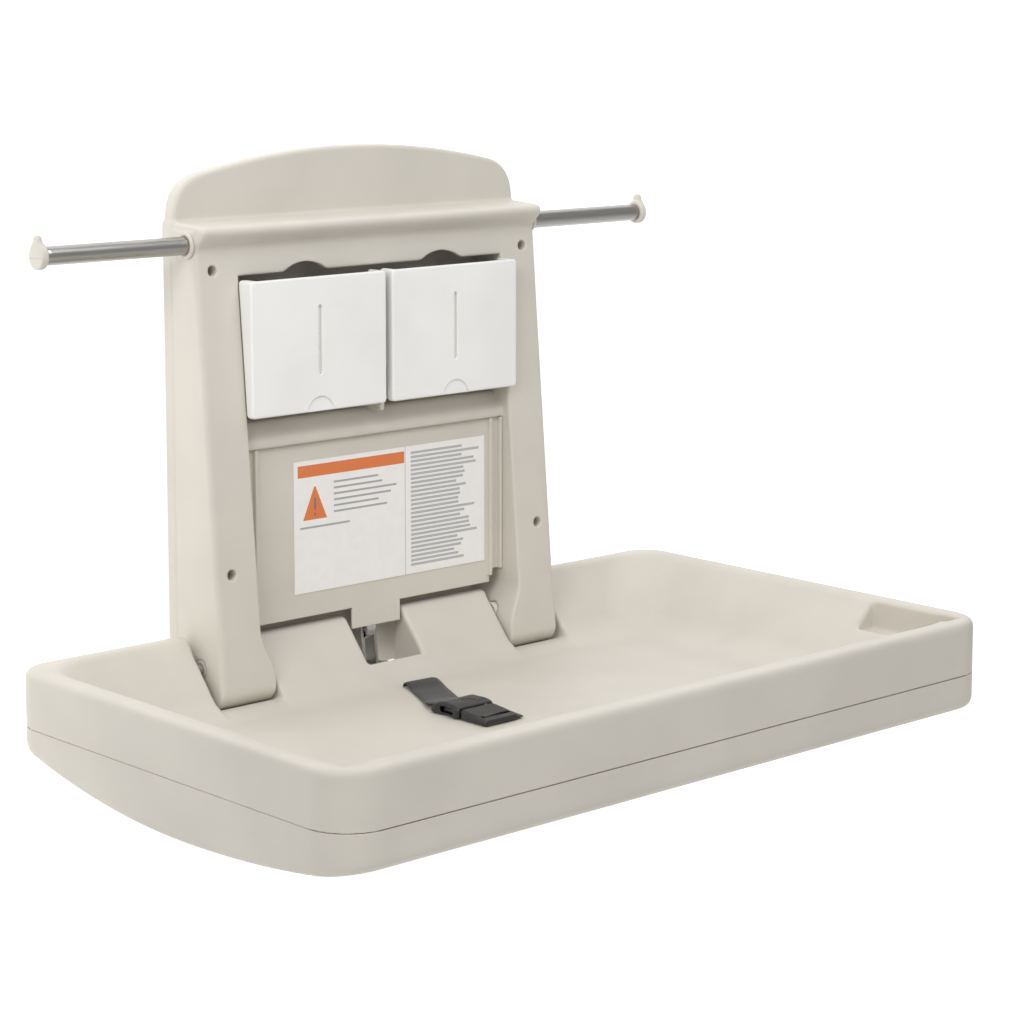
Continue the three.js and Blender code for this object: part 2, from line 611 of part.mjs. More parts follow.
const infoLabel = () => {
  const [left, right, below, above] = LABEL_EDGE;
  const back = -PANEL_FRONT - GAP;
  return box(
    left - STILE_IN, STILE_IN - right, back - LABEL_THICK, back,
    PANEL_BOTTOM + below, PANEL_TOP - above);
};

const bagBar = (side) => bar('x', BAR_Y, BAR_Z, ...mirrorX(side, UNIT_HALF - BAR_ROOT, BAR_END), BAR_R, 28);

const barCollar = (side) => cut(
  bar('x', BAR_Y, BAR_Z, ...mirrorX(side, UNIT_HALF + GAP, UNIT_HALF + 4), BAR_R + COLLAR_WALL),
  bar('x', BAR_Y, BAR_Z, side * UNIT_HALF - 20, side * UNIT_HALF + 20, BAR_R + GAP, 28));

const barCap = (side) => {
  const x = mirrorX(side, BAR_END + GAP, BAR_END + CAP_LENGTH);
  const tip = mirrorX(side, BAR_END + 2, BAR_END + CAP_LENGTH);
  return join(
    bar('x', BAR_Y, BAR_Z, ...x, CAP_R),
    alongX([
      [BAR_Y - 6, BAR_Z + 8], [BAR_Y + 6, BAR_Z + 8], [BAR_Y + 3, BAR_Z + CAP_TIP],
      [BAR_Y - 3, BAR_Z + CAP_TIP]], ...tip));
};

const hingeBush = (side) => cut(
  bar('x', HINGE_Y, HINGE_Z, ...mirrorX(side, FOOT_IN + 0.5, FOOT_OUT - 0.5), BUSH_R),
  hingeBore(side, PIN_R + 0.25));

const strutBracketUpper = () => {
  const ear = (x0, x1) => alongX([
    [-BACK_PANEL - 1, STRUT_TOP_Z - 10], [-BACK_PANEL - 1, STRUT_TOP_Z + 10],
    ...arcPoints(EYE_Y, STRUT_TOP_Z, EYE_R, 90, 270, 8)], x0, x1);
  return cut(
    join(
      box(-20, 20, -BACK_PANEL - 3, -BACK_PANEL - GAP, STRUT_TOP_Z - 12, STRUT_TOP_Z + 12),
      ear(-EAR_OUT, -EAR_IN), ear(EAR_IN, EAR_OUT)),
    bar('x', EYE_Y, STRUT_TOP_Z, -20, 20, STRUT_PIN_R + 0.05));
};

const strutPinUpper = () => join(
  bar('x', EYE_Y, STRUT_TOP_Z, -EAR_OUT - 2, EAR_OUT + 2, STRUT_PIN_R, 16),
  bar('x', EYE_Y, STRUT_TOP_Z, EAR_OUT + GAP, EAR_OUT + 2.5, STRUT_PIN_R + 2, 16));

const strutCylinder = () => cut(
  join(
    bar('z', 0, EYE_Y, STRUT_BOTTOM_Z, STRUT_TOP_Z - 10, STRUT_R),
    bar('x', EYE_Y, STRUT_TOP_Z, 1 - EAR_IN, EAR_IN - 1, EYE_R, 20),
    box(-4, 4, EYE_Y - 4, EYE_Y + 4, STRUT_TOP_Z - 12, STRUT_TOP_Z - 4)),
  bar('x', EYE_Y, STRUT_TOP_Z, -20, 20, STRUT_PIN_R + GAP, 16),
  bar('z', 0, EYE_Y, STRUT_BOTTOM_Z - 5, STRUT_TOP_Z - 16, STRUT_ROD_R + GAP, 16));

const strutRod = () => {
  const eyeR = STRUT_PIN_R + STRUT_LOOSE;
  return cut(
    join(
      bar('z', 0, EYE_Y, EYE_Z + eyeR + 2, STRUT_BOTTOM_Z + 42, STRUT_ROD_R, 16),
      bar('x', EYE_Y, EYE_Z, -EAR_IN + 1.5, EAR_IN - 1.5, eyeR + 3.5)),
    bar('x', EYE_Y, EYE_Z, -20, 20, eyeR));
};

// ---------------------------------------------------------------- dispensers
const binSolid = (side) => {
  const cover = alongX([
    [-BIN_FRONT, BIN_BOTTOM], [-BIN_FRONT, BIN_TOP],
    [stileFront(BIN_TOP) - 0.8, BIN_TOP], [stileFront(BIN_BOTTOM + 16) - 0.8, BIN_BOTTOM + 16],
    [stileFront(BIN_BOTTOM) - 4.5, BIN_BOTTOM]],
  ...mirrorX(side, BIN_IN, BIN_OUT));
  const inner = [BIN_IN + 4, STILE_IN - 4];
  const mouth = BIN_BACK - BIN_FRONT;
  const bin = alongX([
    [-BIN_FRONT + 2, BIN_BOTTOM + 2], [-BIN_FRONT + 2, BIN_TOP - 6], [mouth, BIN_TOP - 6],
    [mouth + 18, BIN_BOTTOM + 2]], ...mirrorX(side, ...inner));
  const floor = BIN_BOTTOM + 2 + BIN_WALL;
  const cavity = alongX([
    [-BIN_FRONT + BIN_WALL, floor], [-BIN_FRONT + BIN_WALL, BIN_TOP + 5], [mouth - 1, BIN_TOP + 5],
    [mouth - BIN_WALL, BIN_TOP - 6], [mouth + 18 - BIN_WALL, floor]],
  ...mirrorX(side, inner[0] + BIN_WALL, inner[1] - BIN_WALL));
  const x = side * BIN_MIDDLE;
  const slotLow = (BIN_BOTTOM + BIN_TOP) / 2 + 4 - BIN_SLOT_H / 2;
  return cut(
    join(cover, bin), cavity,
    box(x - BIN_SLOT_W / 2, x + BIN_SLOT_W / 2, -BIN_FRONT - 5, -BIN_FRONT + 5,
      slotLow, slotLow + BIN_SLOT_H),
    bar('y', x, BIN_BOTTOM - 2, -BIN_FRONT - 5, -BIN_FRONT + BIN_WALL, THUMB_R, 28),
    binBore(side));
};

const binRod = (side) => bar(
  'x', BIN_PIVOT_Y, BIN_PIVOT_Z, ...mirrorX(side, 0.5, STILE_IN + UNIT_WALL), BIN_ROD_R, 12);

const linerStack = (side) => box(
  ...mirrorX(side, BIN_IN + 9, STILE_IN - 9), -BIN_FRONT + BIN_WALL + GAP, BIN_BACK - 9 - BIN_FRONT,
  BIN_PIVOT_Z + BIN_ROD_R + 1, BIN_TOP - 13);

// ---------------------------------------------------------------- finishes and assembly
const finish = (color, roughness, metalness) => ({ color, roughness, metalness });
const PLASTIC = finish(0xd0cbc0, 0.55, 0);
const PLASTIC_UNIT = finish(0xc9c4b8, 0.55, 0);
const WHITE = finish(0xeeeeec, 0.45, 0);
const LABEL = finish(0xf4f2ee, 0.5, 0);
const METAL = finish(0x9a9a98, 0.35, 1);
const ZINC = finish(0xb8bcc0, 0.4, 1);
const NYLON = finish(0x33312e, 0.6, 0);
const WEBBING = finish(0x1d1c1a, 0.9, 0);
const PAPER = finish(0xfaf8f2, 0.9, 0);
const CAP = finish(0xcfcabf, 0.5, 0);

const station = new THREE.Group();
const add = (name, solid, look) => {
  const mesh = new THREE.Mesh(toGeometry(solid), new THREE.MeshStandardMaterial(look));
  mesh.name = name;
  station.add(mesh);
};

add('wall_plate', wallPlate(), ZINC);
add('back_housing', backHousing(), PLASTIC_UNIT);
add('label_panel', labelPanel(), PLASTIC_UNIT);
add('info_label', infoLabel(), LABEL);
add('bed_pan', bedPan(), PLASTIC);
add('bed_base', bedBase(), PLASTIC);

[[-1, 'left'], [1, 'right']].forEach(([side, hand]) => {
  STUD_Z.forEach((z, i) => add(
    `wall_screw_${hand}_${i ? 'upper' : 'lower'}`, wallScrew(side * STUD_X, z), ZINC));
  add(`bag_bar_${hand}`, bagBar(side), METAL);
  add(`bar_collar_${hand}`, barCollar(side), CAP);
  add(`bar_cap_${hand}`, barCap(side), CAP);
  add(`hinge_bush_${hand}`, hingeBush(side), NYLON);
  add(`hinge_pin_${hand}`, hingePin(side), METAL);
  add(`dispenser_bin_${hand}`, binSolid(side), WHITE);
  add(`dispenser_rod_${hand}`, binRod(side), ZINC);
  add(`liner_stack_${hand}`, linerStack(side), PAPER);
});

add('strut_bracket_upper', strutBracketUpper(), ZINC);
add('strut_pin_upper', strutPinUpper(), ZINC);
add('strut_cylinder', strutCylinder(), NYLON);
add('strut_rod', strutRod(), METAL);
add('strut_bracket_lower', strutBracketLower(), ZINC);
add('strut_pin_lower', strutPinLower(), ZINC);

add('strap', strap(), WEBBING);
add('strap_anchor', strapAnchor(), ZINC);
add('buckle_socket', buckleSocket(), NYLON);
add('buckle_tongue', buckleTongue(), NYLON);
add('strap_tail', strapTail(), WEBBING);
POSTS.forEach((at, i) => add(`base_screw_${i + 1}`, tieScrew(at), ZINC));

export default station;
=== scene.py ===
import math

import bpy
import numpy as np
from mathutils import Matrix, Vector


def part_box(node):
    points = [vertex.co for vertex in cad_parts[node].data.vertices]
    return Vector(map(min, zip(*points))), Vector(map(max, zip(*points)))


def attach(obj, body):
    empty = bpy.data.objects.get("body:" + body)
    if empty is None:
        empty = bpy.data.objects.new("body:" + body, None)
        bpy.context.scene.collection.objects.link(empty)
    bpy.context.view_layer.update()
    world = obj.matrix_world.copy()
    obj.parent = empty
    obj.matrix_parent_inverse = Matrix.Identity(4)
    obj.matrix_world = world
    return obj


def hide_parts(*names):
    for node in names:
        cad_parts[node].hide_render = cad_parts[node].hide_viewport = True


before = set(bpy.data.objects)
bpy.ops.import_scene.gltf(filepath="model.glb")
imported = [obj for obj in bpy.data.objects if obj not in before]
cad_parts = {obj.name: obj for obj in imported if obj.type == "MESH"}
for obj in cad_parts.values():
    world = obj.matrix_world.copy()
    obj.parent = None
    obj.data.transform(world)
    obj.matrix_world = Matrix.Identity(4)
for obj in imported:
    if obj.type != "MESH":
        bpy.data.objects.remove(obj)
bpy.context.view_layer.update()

# ------------------------------------------------------------------ the bed's base
# The lower half of the bed: one polyethylene moulding with a curved belly, open at the top where
# the pan drops into it. Its edge is eased, and it meets the pan in a fine joint line.
mm = 0.001
pan_low, pan_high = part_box("bed_pan")
base_low, base_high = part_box("bed_base")
bush_low, bush_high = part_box("hinge_bush_right")

half_width = pan_high[0]
bed_front = pan_low[1]
bed_back = pan_high[1]
rim_top = pan_high[2]
joint_line = base_high[2]
belly_low = base_low[2]
belly_y = -282 * mm
front_height = 80 * mm
back_height = 64 * mm
hinge_y = (bush_low[1] + bush_high[1]) / 2
hinge_z = (bush_low[2] + bush_high[2]) / 2
foot_middle = (bush_low[0] + bush_high[0]) / 2
foot_half = (bush_high[0] - bush_low[0]) / 2 + 0.5 * mm
foot_inner = foot_middle - foot_half
foot_outer = foot_middle + foot_half
foot_radius = 44.5 * mm
bowl_floor = -61 * mm
channel_half = 36 * mm
channel_radius = 37 * mm
pocket_floor = -24 * mm
above_rim = 60 * mm
pan_wall = 3.4 * mm
pan_clear = 3.8 * mm
bowl_wall = 6.6 * mm
bowl_clear = 7 * mm


def soft_max(a, b, r):
    """The larger of two fields. Where they are closer than r, a squared term eases the edge."""
    near = np.maximum(r - np.abs(a - b), 0)
    return np.maximum(a, b) + near * near / (4 * r)


def soft_min(a, b, r):
    """The smaller of two fields, with the inner corner between them filled in the same way."""
    return -soft_max(-a, -b, r)


def between(value, low, high):
    """How far a value lies outside the stretch from low to high; negative inside it."""
    return np.abs(value - (low + high) / 2) - (high - low) / 2


def block(x, y, z, sides, r):
    """How far a point lies outside a box whose edges are eased by r."""
    across = soft_max(between(x, *sides[0]), between(y, *sides[1]), r)
    return soft_max(across, between(z, *sides[2]), r)


def corner(a, b, r):
    """Two walls met by a true round corner: the length of both distances, less its radius."""
    a, b = a + r, b + r
    return np.hypot(np.maximum(a, 0), np.maximum(b, 0)) + np.minimum(np.maximum(a, b), 0) - r


def spaced(*stretches):
    """Grid lines in metres from stretches of (from, to, step) in millimetres."""
    lines = [np.linspace(a, b, round((b - a) / step), endpoint=False) for a, b, step in stretches]
    return np.append(np.concatenate(lines), stretches[-1][1]) * mm


def both_sides(*stretches):
    """Grid lines for x, the same on either side of the middle."""
    right = spaced(*stretches)
    return np.concatenate((-right[:0:-1], right))


def slope(field, points, h=0.15 * mm):
    """The field's gradient, from its difference over a short step each way along x, y and z."""
    x, y, z = points.T
    return np.stack((
        field(x + h, y, z) - field(x - h, y, z),
        field(x, y + h, z) - field(x, y - h, z),
        field(x, y, z + h) - field(x, y, z - h)), axis=1) / (2 * h)


def moulded(name, xs, ys, zs, field, bend=None):
    """A closed skin where field(x, y, z) is zero; the field is negative inside the material.

    The field is read on a grid, which bend may lean or curve to follow the piece. A cell that holds
    both signs gets one vertex, at the mean of the crossings on its edges. An edge that crosses gets
    one face, between the four cells round it. The vertices then slide down the field's gradient
    until they lie on the surface, and take their normals from it."""
    grid = np.meshgrid(xs, ys, zs, indexing="ij")
    place = np.stack(bend(*grid) if bend else grid, axis=-1)
    value = field(place[..., 0], place[..., 1], place[..., 2])
    size = np.array(value.shape) - 1
    total = np.zeros((*size, 3))
    count = np.zeros(size)
    crossings = []
    for axis in range(3):
        low = [slice(None)] * 3
        high = [slice(None)] * 3
        low[axis], high[axis] = slice(0, -1), slice(1, None)
        a, b = value[tuple(low)], value[tuple(high)]
        crossed = (a < 0) != (b < 0)
        share = np.where(crossed, a / np.where(crossed, a - b, 1), 0)[..., None]
        point = place[tuple(low)] * (1 - share) + place[tuple(high)] * share
        crossings.append((crossed, a < 0))
        u, v = (axis + 1) % 3, (axis + 2) % 3
        for du in (0, 1):
            for dv in (0, 1):
                part = [slice(None)] * 3
                part[u] = slice(du, du + size[u])
                part[v] = slice(dv, dv + size[v])
                hit = crossed[tuple(part)]
                total += point[tuple(part)] * hit[..., None]
                count += hit
    used = count > 0
    number = np.full(used.shape, -1)
    number[used] = np.arange(used.sum())
    points = total[used] / count[used][:, None]
    faces = []
    for axis, (crossed, leaving) in enumerate(crossings):
        u, v = (axis + 1) % 3, (axis + 2) % 3
        at = np.argwhere(crossed)
        at = at[(at[:, u] > 0) & (at[:, u] < size[u]) & (at[:, v] > 0) & (at[:, v] < size[v])]
        quad = []
        for du, dv in ((1, 1), (0, 1), (0, 0), (1, 0)):
            cell = at.copy()
            cell[:, u] -= du
            cell[:, v] -= dv
            quad.append(number[tuple(cell.T)])
        quad = np.stack(quad, axis=1)
        out = leaving[tuple(at.T)]
        quad[~out] = quad[~out][:, ::-1]
        faces.append(quad)
    faces = np.concatenate(faces)
    for _ in range(4):
        lean = slope(field, points)
        step = field(*points.T) / np.maximum((lean * lean).sum(axis=1), 0.2)
        points -= np.clip(step, -1.2 * mm, 1.2 * mm)[:, None] * lean
    lean = slope(field, points)
    return piece(name, points, faces, lean / np.linalg.norm(lean, axis=1)[:, None])


def piece(name, points, faces, normals=None):
    """A smooth-shaded object from an array of points and an array of four-cornered faces."""
    mesh = bpy.data.meshes.new(name)
    mesh.vertices.add(len(points))
    mesh.vertices.foreach_set("co", np.asarray(points, dtype=np.float32).ravel())
    mesh.loops.add(faces.size)
    mesh.loops.foreach_set("vertex_index", faces.ravel().astype(np.int32))
    mesh.polygons.add(len(faces))
    mesh.polygons.foreach_set("loop_start", np.arange(0, faces.size, faces.shape[1], dtype=np.int32))
    mesh.update(calc_edges=True)
    mesh.validate()
    mesh.shade_smooth()
    if normals is not None and len(mesh.vertices) == len(normals):
        mesh.normals_split_custom_set_from_vertices(normals)
    made = bpy.data.objects.new(name, mesh)
    bpy.context.scene.collection.objects.link(made)
    return made


def stands_for(made, body, nodes, material):
    """Lets a piece ride on a body in place of CAD nodes, with its finish."""
    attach(made, body)
    if nodes:
        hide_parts(*nodes)
    made.data.materials.append(material)


def moulded_plastic(name, colour, roughness=0.5, grain=1.0):
    """Moulded plastic: two close shades in slow clouds, a fine spark-eroded grain that also
    stirs the gloss, and a faint long ripple left by the mould."""
    material = bpy.data.materials.new(name)
    material.use_nodes = True
    nodes, links = material.node_tree.nodes, material.node_tree.links
    shader = nodes["Principled BSDF"]
    shader.inputs["IOR"].default_value = 1.49
    where = nodes.new("ShaderNodeTexCoord").outputs["Object"]

    def noise(scale, detail):
        texture = nodes.new("ShaderNodeTexNoise")
        texture.inputs["Scale"].default_value = scale
        texture.inputs["Detail"].default_value = detail
        links.new(where, texture.inputs["Vector"])
        return texture.outputs["Fac"]

    clouds = nodes.new("ShaderNodeValToRGB")
    clouds.color_ramp.elements[0].position = 0.35
    clouds.color_ramp.elements[0].color = (*(0.965 * c for c in colour), 1)
    clouds.color_ramp.elements[1].position = 0.65
    clouds.color_ramp.elements[1].color = (*(min(1.03 * c, 1) for c in colour), 1)
    links.new(noise(9, 3), clouds.inputs["Fac"])
    links.new(clouds.outputs["Color"], shader.inputs["Base Color"])

    gloss = nodes.new("ShaderNodeMapRange")
    gloss.inputs["To Min"].default_value = roughness - 0.07
    gloss.inputs["To Max"].default_value = roughness + 0.09
    fine = noise(650, 2)
    links.new(fine, gloss.inputs["Value"])
    links.new(gloss.outputs["Result"], shader.inputs["Roughness"])

    ripple = nodes.new("ShaderNodeBump")
    ripple.inputs["Strength"].default_value = 0.25
    ripple.inputs["Distance"].default_value = 0.4 * mm
    links.new(noise(22, 1), ripple.inputs["Height"])
    bump = nodes.new("ShaderNodeBump")
    bump.inputs["Strength"].default_value = 0.35 * grain
    bump.inputs["Distance"].default_value = 0.12 * mm
    links.new(fine, bump.inputs["Height"])
    links.new(ripple.outputs["Normal"], bump.inputs["Normal"])
    links.new(bump.outputs["Normal"], shader.inputs["Normal"])
    return material


def belly(y):
    """Height of the belly's underside: a parabola each way from its lowest line."""
    front = y < belly_y
    end = np.where(front, bed_front, bed_back)
    rise = -belly_low - np.where(front, front_height, back_height)
    return belly_low + rise * ((y - belly_y) / (end - belly_y)) ** 2


def plan(x, y):
    """How far a point lies outside the bed's outline seen from above."""
    middle = (bed_front + bed_back) / 2
    r = np.where(y < middle, 45 * mm, 36 * mm)
    return corner(np.abs(x) - half_width, np.abs(y - middle) - (bed_back - bed_front) / 2, r)


def bowl(x, y, z):
    """The lying space: four leaning walls, round where they meet, eased into a flat floor."""
    fall = 7 * mm - z
    side = (np.abs(x) - half_width + 23 * mm + 1.02 * fall) / math.hypot(1, 1.02)
    front = (bed_front + 23 * mm + 0.12 * fall - y) / math.hypot(1, 0.12)
    back = (y + 43 * mm + 0.85 * fall) / math.hypot(1, 0.85)
    walls = corner(side, np.where(y < belly_y, front, back), 38 * mm)
    return soft_max(walls, bowl_floor - z, 20 * mm)


def hinge_space(x, y, z, r, low, high, ease):
    """A notch with a quarter-round bottom about the hinge, open above and behind."""
    bottom = np.hypot(np.maximum(hinge_y - y, 0), np.maximum(hinge_z - z, 0)) - r
    return soft_max(bottom, between(np.abs(x), low, high), ease)


def bed_air(x, y, z):
    """Every space moulded into the bed, as one field: the bowl, the notches for the two feet and
    the level aprons before them, the strut's channel, the low back lip, and the pockets that the
    bars lie in while the bed is folded up."""
    side = np.abs(x)
    foot = (foot_inner - 1.5 * mm, foot_outer + 6.5 * mm)
    lip = between(side, channel_half - 1 * mm, foot[0] + 1 * mm)
    air = bowl(x, y, z)
    channel = hinge_space(x, y, z, channel_radius, -channel_half, channel_half, 5 * mm)
    channel = soft_max(channel, np.minimum(y + 25 * mm, -50 * mm - z), 1.5 * mm)
    spaces = (
        hinge_space(x, y, z, foot_radius + 1.5 * mm, *foot, 3 * mm),
        channel,
        block(side, y, z, (foot, (-126 * mm, hinge_y), (-56.5 * mm, above_rim)), 5 * mm),
        block(side, y, z, (
            (376 * mm, half_width - 21 * mm), (-496 * mm, -382 * mm),
            (pocket_floor, above_rim)), 5 * mm),
        block(side, y, z, (
            (335 * mm, 385 * mm), (-482 * mm, -454 * mm), (pocket_floor, above_rim)), 4 * mm),
        soft_max(soft_max(lip, -70 * mm - y, 6 * mm), 2 * mm - z, 5 * mm),
        soft_max(lip, -36 * mm - y, 3 * mm))
    for space in spaces:
        air = soft_min(air, space, 5 * mm)
    return air


def base_field(x, y, z):
    """The base: inside the outline, above the belly, below the joint, clear of the pan's walls."""
    outer = soft_max(plan(x, y), belly(y) - z, 12 * mm)
    outer = soft_max(outer, z - joint_line, 0.7 * mm)
    clear = np.maximum(pan_clear - bed_air(x, y, z), bowl_clear - bowl(x, y, z))
    return soft_max(outer, clear, 0.8 * mm)


def follow_belly(x, y, z):
    """Grid heights squeezed so that the lowest ones run along the belly."""
    squeeze = (joint_line - belly(np.clip(y, bed_front, bed_back))) / (joint_line - belly_low)
    return x, y, joint_line + (z - joint_line) * np.where(z < joint_line, squeeze, 1)


bed_lines_x = both_sides(
    (0, 30, 5), (30, 42, 2), (42, 150, 6), (150, 162, 2), (162, 224, 4), (224, 236, 2),
    (236, 300, 8), (300, 430, 2.6))
bed_lines_y = spaced((-526, -448, 2.4), (-448, -134, 6), (-134, -18, 2.4))
# The bed is the same polyethylene as the wall unit, painted a few per cent darker: painted shade, for
# the weaker light that falls on the bed.
shaded_bed_plastic = moulded_plastic("bed_polyethylene_painted_shade", (0.645, 0.61, 0.545), 0.5)

bed_base = moulded(
    "bed_base_shell", bed_lines_x, bed_lines_y,
    spaced((-107, -86, 2), (-86, -52, 4), (-52, -41, 1.1)), base_field, follow_belly)
stands_for(bed_base, "bed", ["bed_base"], shaded_bed_plastic)

# ------------------------------------------------------------------ the bed's pan
# The upper half of the bed, in the same polyethylene: a rolled rim, a deep bowl with leaning
# walls, notches for the feet, a channel for the gas strut and a pocket at each end for a bag bar.
def pan_field(x, y, z):
    """The rim above the joint, and below it a wall round each space, down inside the base."""
    air = bed_air(x, y, z)
    outer = plan(x, y)
    rim = soft_max(soft_max(outer, z - rim_top, 9 * mm), joint_line + 0.35 * mm - z, 0.7 * mm)
    within = np.maximum(outer + pan_clear, belly(y) + 1 * mm - z)
    lining = np.minimum(air - pan_wall, bowl(x, y, z) - bowl_wall)
    wall = np.maximum(np.maximum(lining, within), z - joint_line - 4 * mm)
    return np.minimum(soft_max(rim, -air, 5 * mm), np.maximum(wall, -air))


bed_pan = moulded(
    "bed_pan_shell", bed_lines_x, bed_lines_y,
    spaced((-80, -67, 2.6), (-67, -41, 1.8), (-41, -4, 2.4), (-4, 13, 1.6)), pan_field)
stands_for(bed_pan, "bed", ["bed_pan"], shaded_bed_plastic)

# ------------------------------------------------------------------ the back housing
# The part fixed to the wall: one polyethylene moulding with two leaning posts that flare into feet,
# a shelf ledge under an arched back, and a header and a shelf that frame the dispensers.
unit_low, unit_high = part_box("back_housing")
plate_low, plate_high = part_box("wall_plate")
bar_low, bar_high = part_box("bag_bar_right")
rod_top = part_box("dispenser_rod_right")[1][2]
panel_low, panel_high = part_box("label_panel")
bin_low, bin_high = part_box("dispenser_bin_right")
screws = [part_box(f"wall_screw_right_{row}") for row in ("lower", "upper")]

unit_half = unit_high[0] - 1.5 * mm
post_inner = unit_half - 50.5 * mm
arch_top = unit_high[2]
arch_radius = 872 * mm
ledge_top = arch_top - 70 * mm
header_bottom = bin_high[2] + 4 * mm
shelf_top = bin_low[2] - 9 * mm
bin_middle = (bin_low[0] + bin_high[0]) / 2
bar_y = (bar_low[1] + bar_high[1]) / 2
bar_z = (bar_low[2] + bar_high[2]) / 2
post_depth = 85 * mm
post_lean = 0.0845


def post_front(z):
    """Depth of the posts' front face, which leans back as it rises."""
    return post_lean * z - post_depth


def outline(u, v, corners, r):
    """How far a point lies outside a convex outline whose corners run anticlockwise; r eases it."""
    field = None
    for (u0, v0), (u1, v1) in zip(corners, corners[1:] + corners[:1]):
        length = math.hypot(u1 - u0, v1 - v0)
        edge = ((u - u0) * (v1 - v0) - (v - v0) * (u1 - u0)) / length
        field = edge if field is None else soft_max(field, edge, r)
    return field


def drum(a, b, centre_a, centre_b, r):
    """How far a point lies outside a round bar along the third axis."""
    return np.hypot(a - centre_a, b - centre_b) - r


def side_outline(y, z, corners, r):
    """A convex outline in the side view, given in millimetres."""
    return outline(y, z, [(a * mm, b * mm) for a, b in corners], r)


def housing_field(x, y, z):
    """Posts that flare into feet, the header, back, arch, ledge and shelf, less the openings."""
    side = np.abs(x)
    back = block(x, y, z, ((-unit_half, unit_half), (-12 * mm, 0), (unit_low[2], ledge_top)), 2 * mm)
    back = np.maximum(back, -66 * mm - z)
    crown = soft_max(side - unit_half, drum(x, z, 0, arch_top - arch_radius, arch_radius), 34 * mm)
    crown = soft_max(crown, between(y, -18 * mm, 0), 5 * mm)
    crown = np.maximum(crown, ledge_top - 20 * mm - z)
    flare = np.clip((13 * mm - z) / (48 * mm), 0, 1)
    flare = flare * flare * (3 - 2 * flare)
    outer = unit_half + (foot_outer - unit_half) * flare
    inner = post_inner + (foot_inner - post_inner) * flare
    reach = np.hypot(np.maximum(hinge_y - y, 0), np.maximum(hinge_z - z, 0))
    posts = soft_max(side - outer, post_front(z) - y, 6 * mm)
    posts = soft_max(posts, reach - foot_radius, 4 * mm)
    posts = soft_max(posts, np.minimum(inner - side, header_bottom - z), 3 * mm)
    posts = np.maximum(posts, np.maximum(y, between(z, unit_low[2] + 1 * mm, ledge_top - 6 * mm)))
    ledge = side_outline(y, z - ledge_top, [
        (0, -32), (0, 4), (-18, 4), (-62, 0.5), (-66, -4), (-65, -9), (-48, -24), (-28, -31)], 4 * mm)
    ledge = soft_max(ledge, side - unit_half, 5 * mm)
    deep = shelf_top / mm
    shelf = side_outline(y, z, [
        (-11, deep), (-42, deep), (-58, deep - 18), (-58, deep - 25.7), (-11, deep - 25.7)], 3 * mm)
    shelf = np.maximum(shelf, side - post_inner - 1 * mm)
    divider = block(x, y, z, (
        (-3 * mm, 3 * mm), (-65 * mm, -11 * mm), (shelf_top - 1 * mm, rod_top + 8 * mm)), 1.5 * mm)

    solid = soft_min(back, posts, 3 * mm)
    solid = soft_min(solid, crown, 6 * mm)
    solid = soft_min(solid, ledge, 4 * mm)
    solid = np.maximum(soft_min(solid, soft_min(shelf, divider, 1 * mm), 2 * mm), y)

    notch_half, notch_rise = 27.5, 9
    notch_r = (notch_half ** 2 + notch_rise ** 2) / (2 * notch_rise) * mm
    notch = drum(side, z, bin_middle, header_bottom + notch_rise * mm - notch_r, notch_r)
    front = post_front(header_bottom)
    notch = np.maximum(notch, between(y, front - 5 * mm, front + 8 * mm))
    inside_header = block(x, y, z, (
        (4 * mm - post_inner, post_inner - 4 * mm), (front + 6 * mm, -12 * mm),
        (header_bottom - 9 * mm, header_bottom + 20 * mm)), 1 * mm)
    recess = block(x, y, z, (
        (-unit_half + 8.5 * mm, unit_half - 8.5 * mm), (plate_low[1] - 0.3 * mm, 9 * mm),
        (plate_low[2] - 0.5 * mm, plate_high[2] + 0.5 * mm)), 0.5 * mm)
    hinge = np.maximum(drum(y, z, hinge_y, hinge_z, 9.3 * mm), 140 * mm - side)
    socket = np.maximum(drum(y, z, bar_y, bar_z, 9.3 * mm), 199 * mm - side)
    openings = [notch, inside_header, recess, hinge, socket]
    for low, high in screws:
        centre_x, centre_z = (low[0] + high[0]) / 2, (low[2] + high[2]) / 2
        sunk = np.maximum(drum(side, z, centre_x, centre_z, 5.2 * mm), y + 16 * mm)
        openings.append(np.minimum(sunk, drum(side, z, centre_x, centre_z, 3.7 * mm)))
    for opening in openings:
        solid = soft_max(solid, -opening, 1.4 * mm)
    return solid


def lean_with_posts(x, y, z):
    """Grid depths scaled so that the front ones run along the posts' leaning face."""
    return x, y * np.where(y < 0, -post_front(np.clip(z, 0, 0.5)) / post_depth, 1), z


# The wall unit is the same polyethylene as the bed, painted a few per cent lighter: painted light, for
# the stronger light that falls on the unit.
lit_unit_plastic = moulded_plastic("unit_polyethylene_painted_light", (0.68, 0.645, 0.58), 0.52)
housing = moulded(
    "back_housing_shell",
    both_sides((0, 4, 2), (4, 56, 5), (56, 122, 3), (122, 150, 5), (150, 182, 2), (182, 214, 2.4),
               (214, 230, 1.8)),
    spaced((-120, -54, 3), (-54, -9, 2.5), (-9, 3, 1.4)),
    spaced((-72, 30, 2.4), (30, 64, 5), (64, 82, 2), (82, 180, 6), (180, 240, 2.4), (240, 352, 8),
           (352, 420, 1.9), (420, 488, 2.6)),
    housing_field, lean_with_posts)
stands_for(housing, "wall_unit", ["back_housing"], lit_unit_plastic)

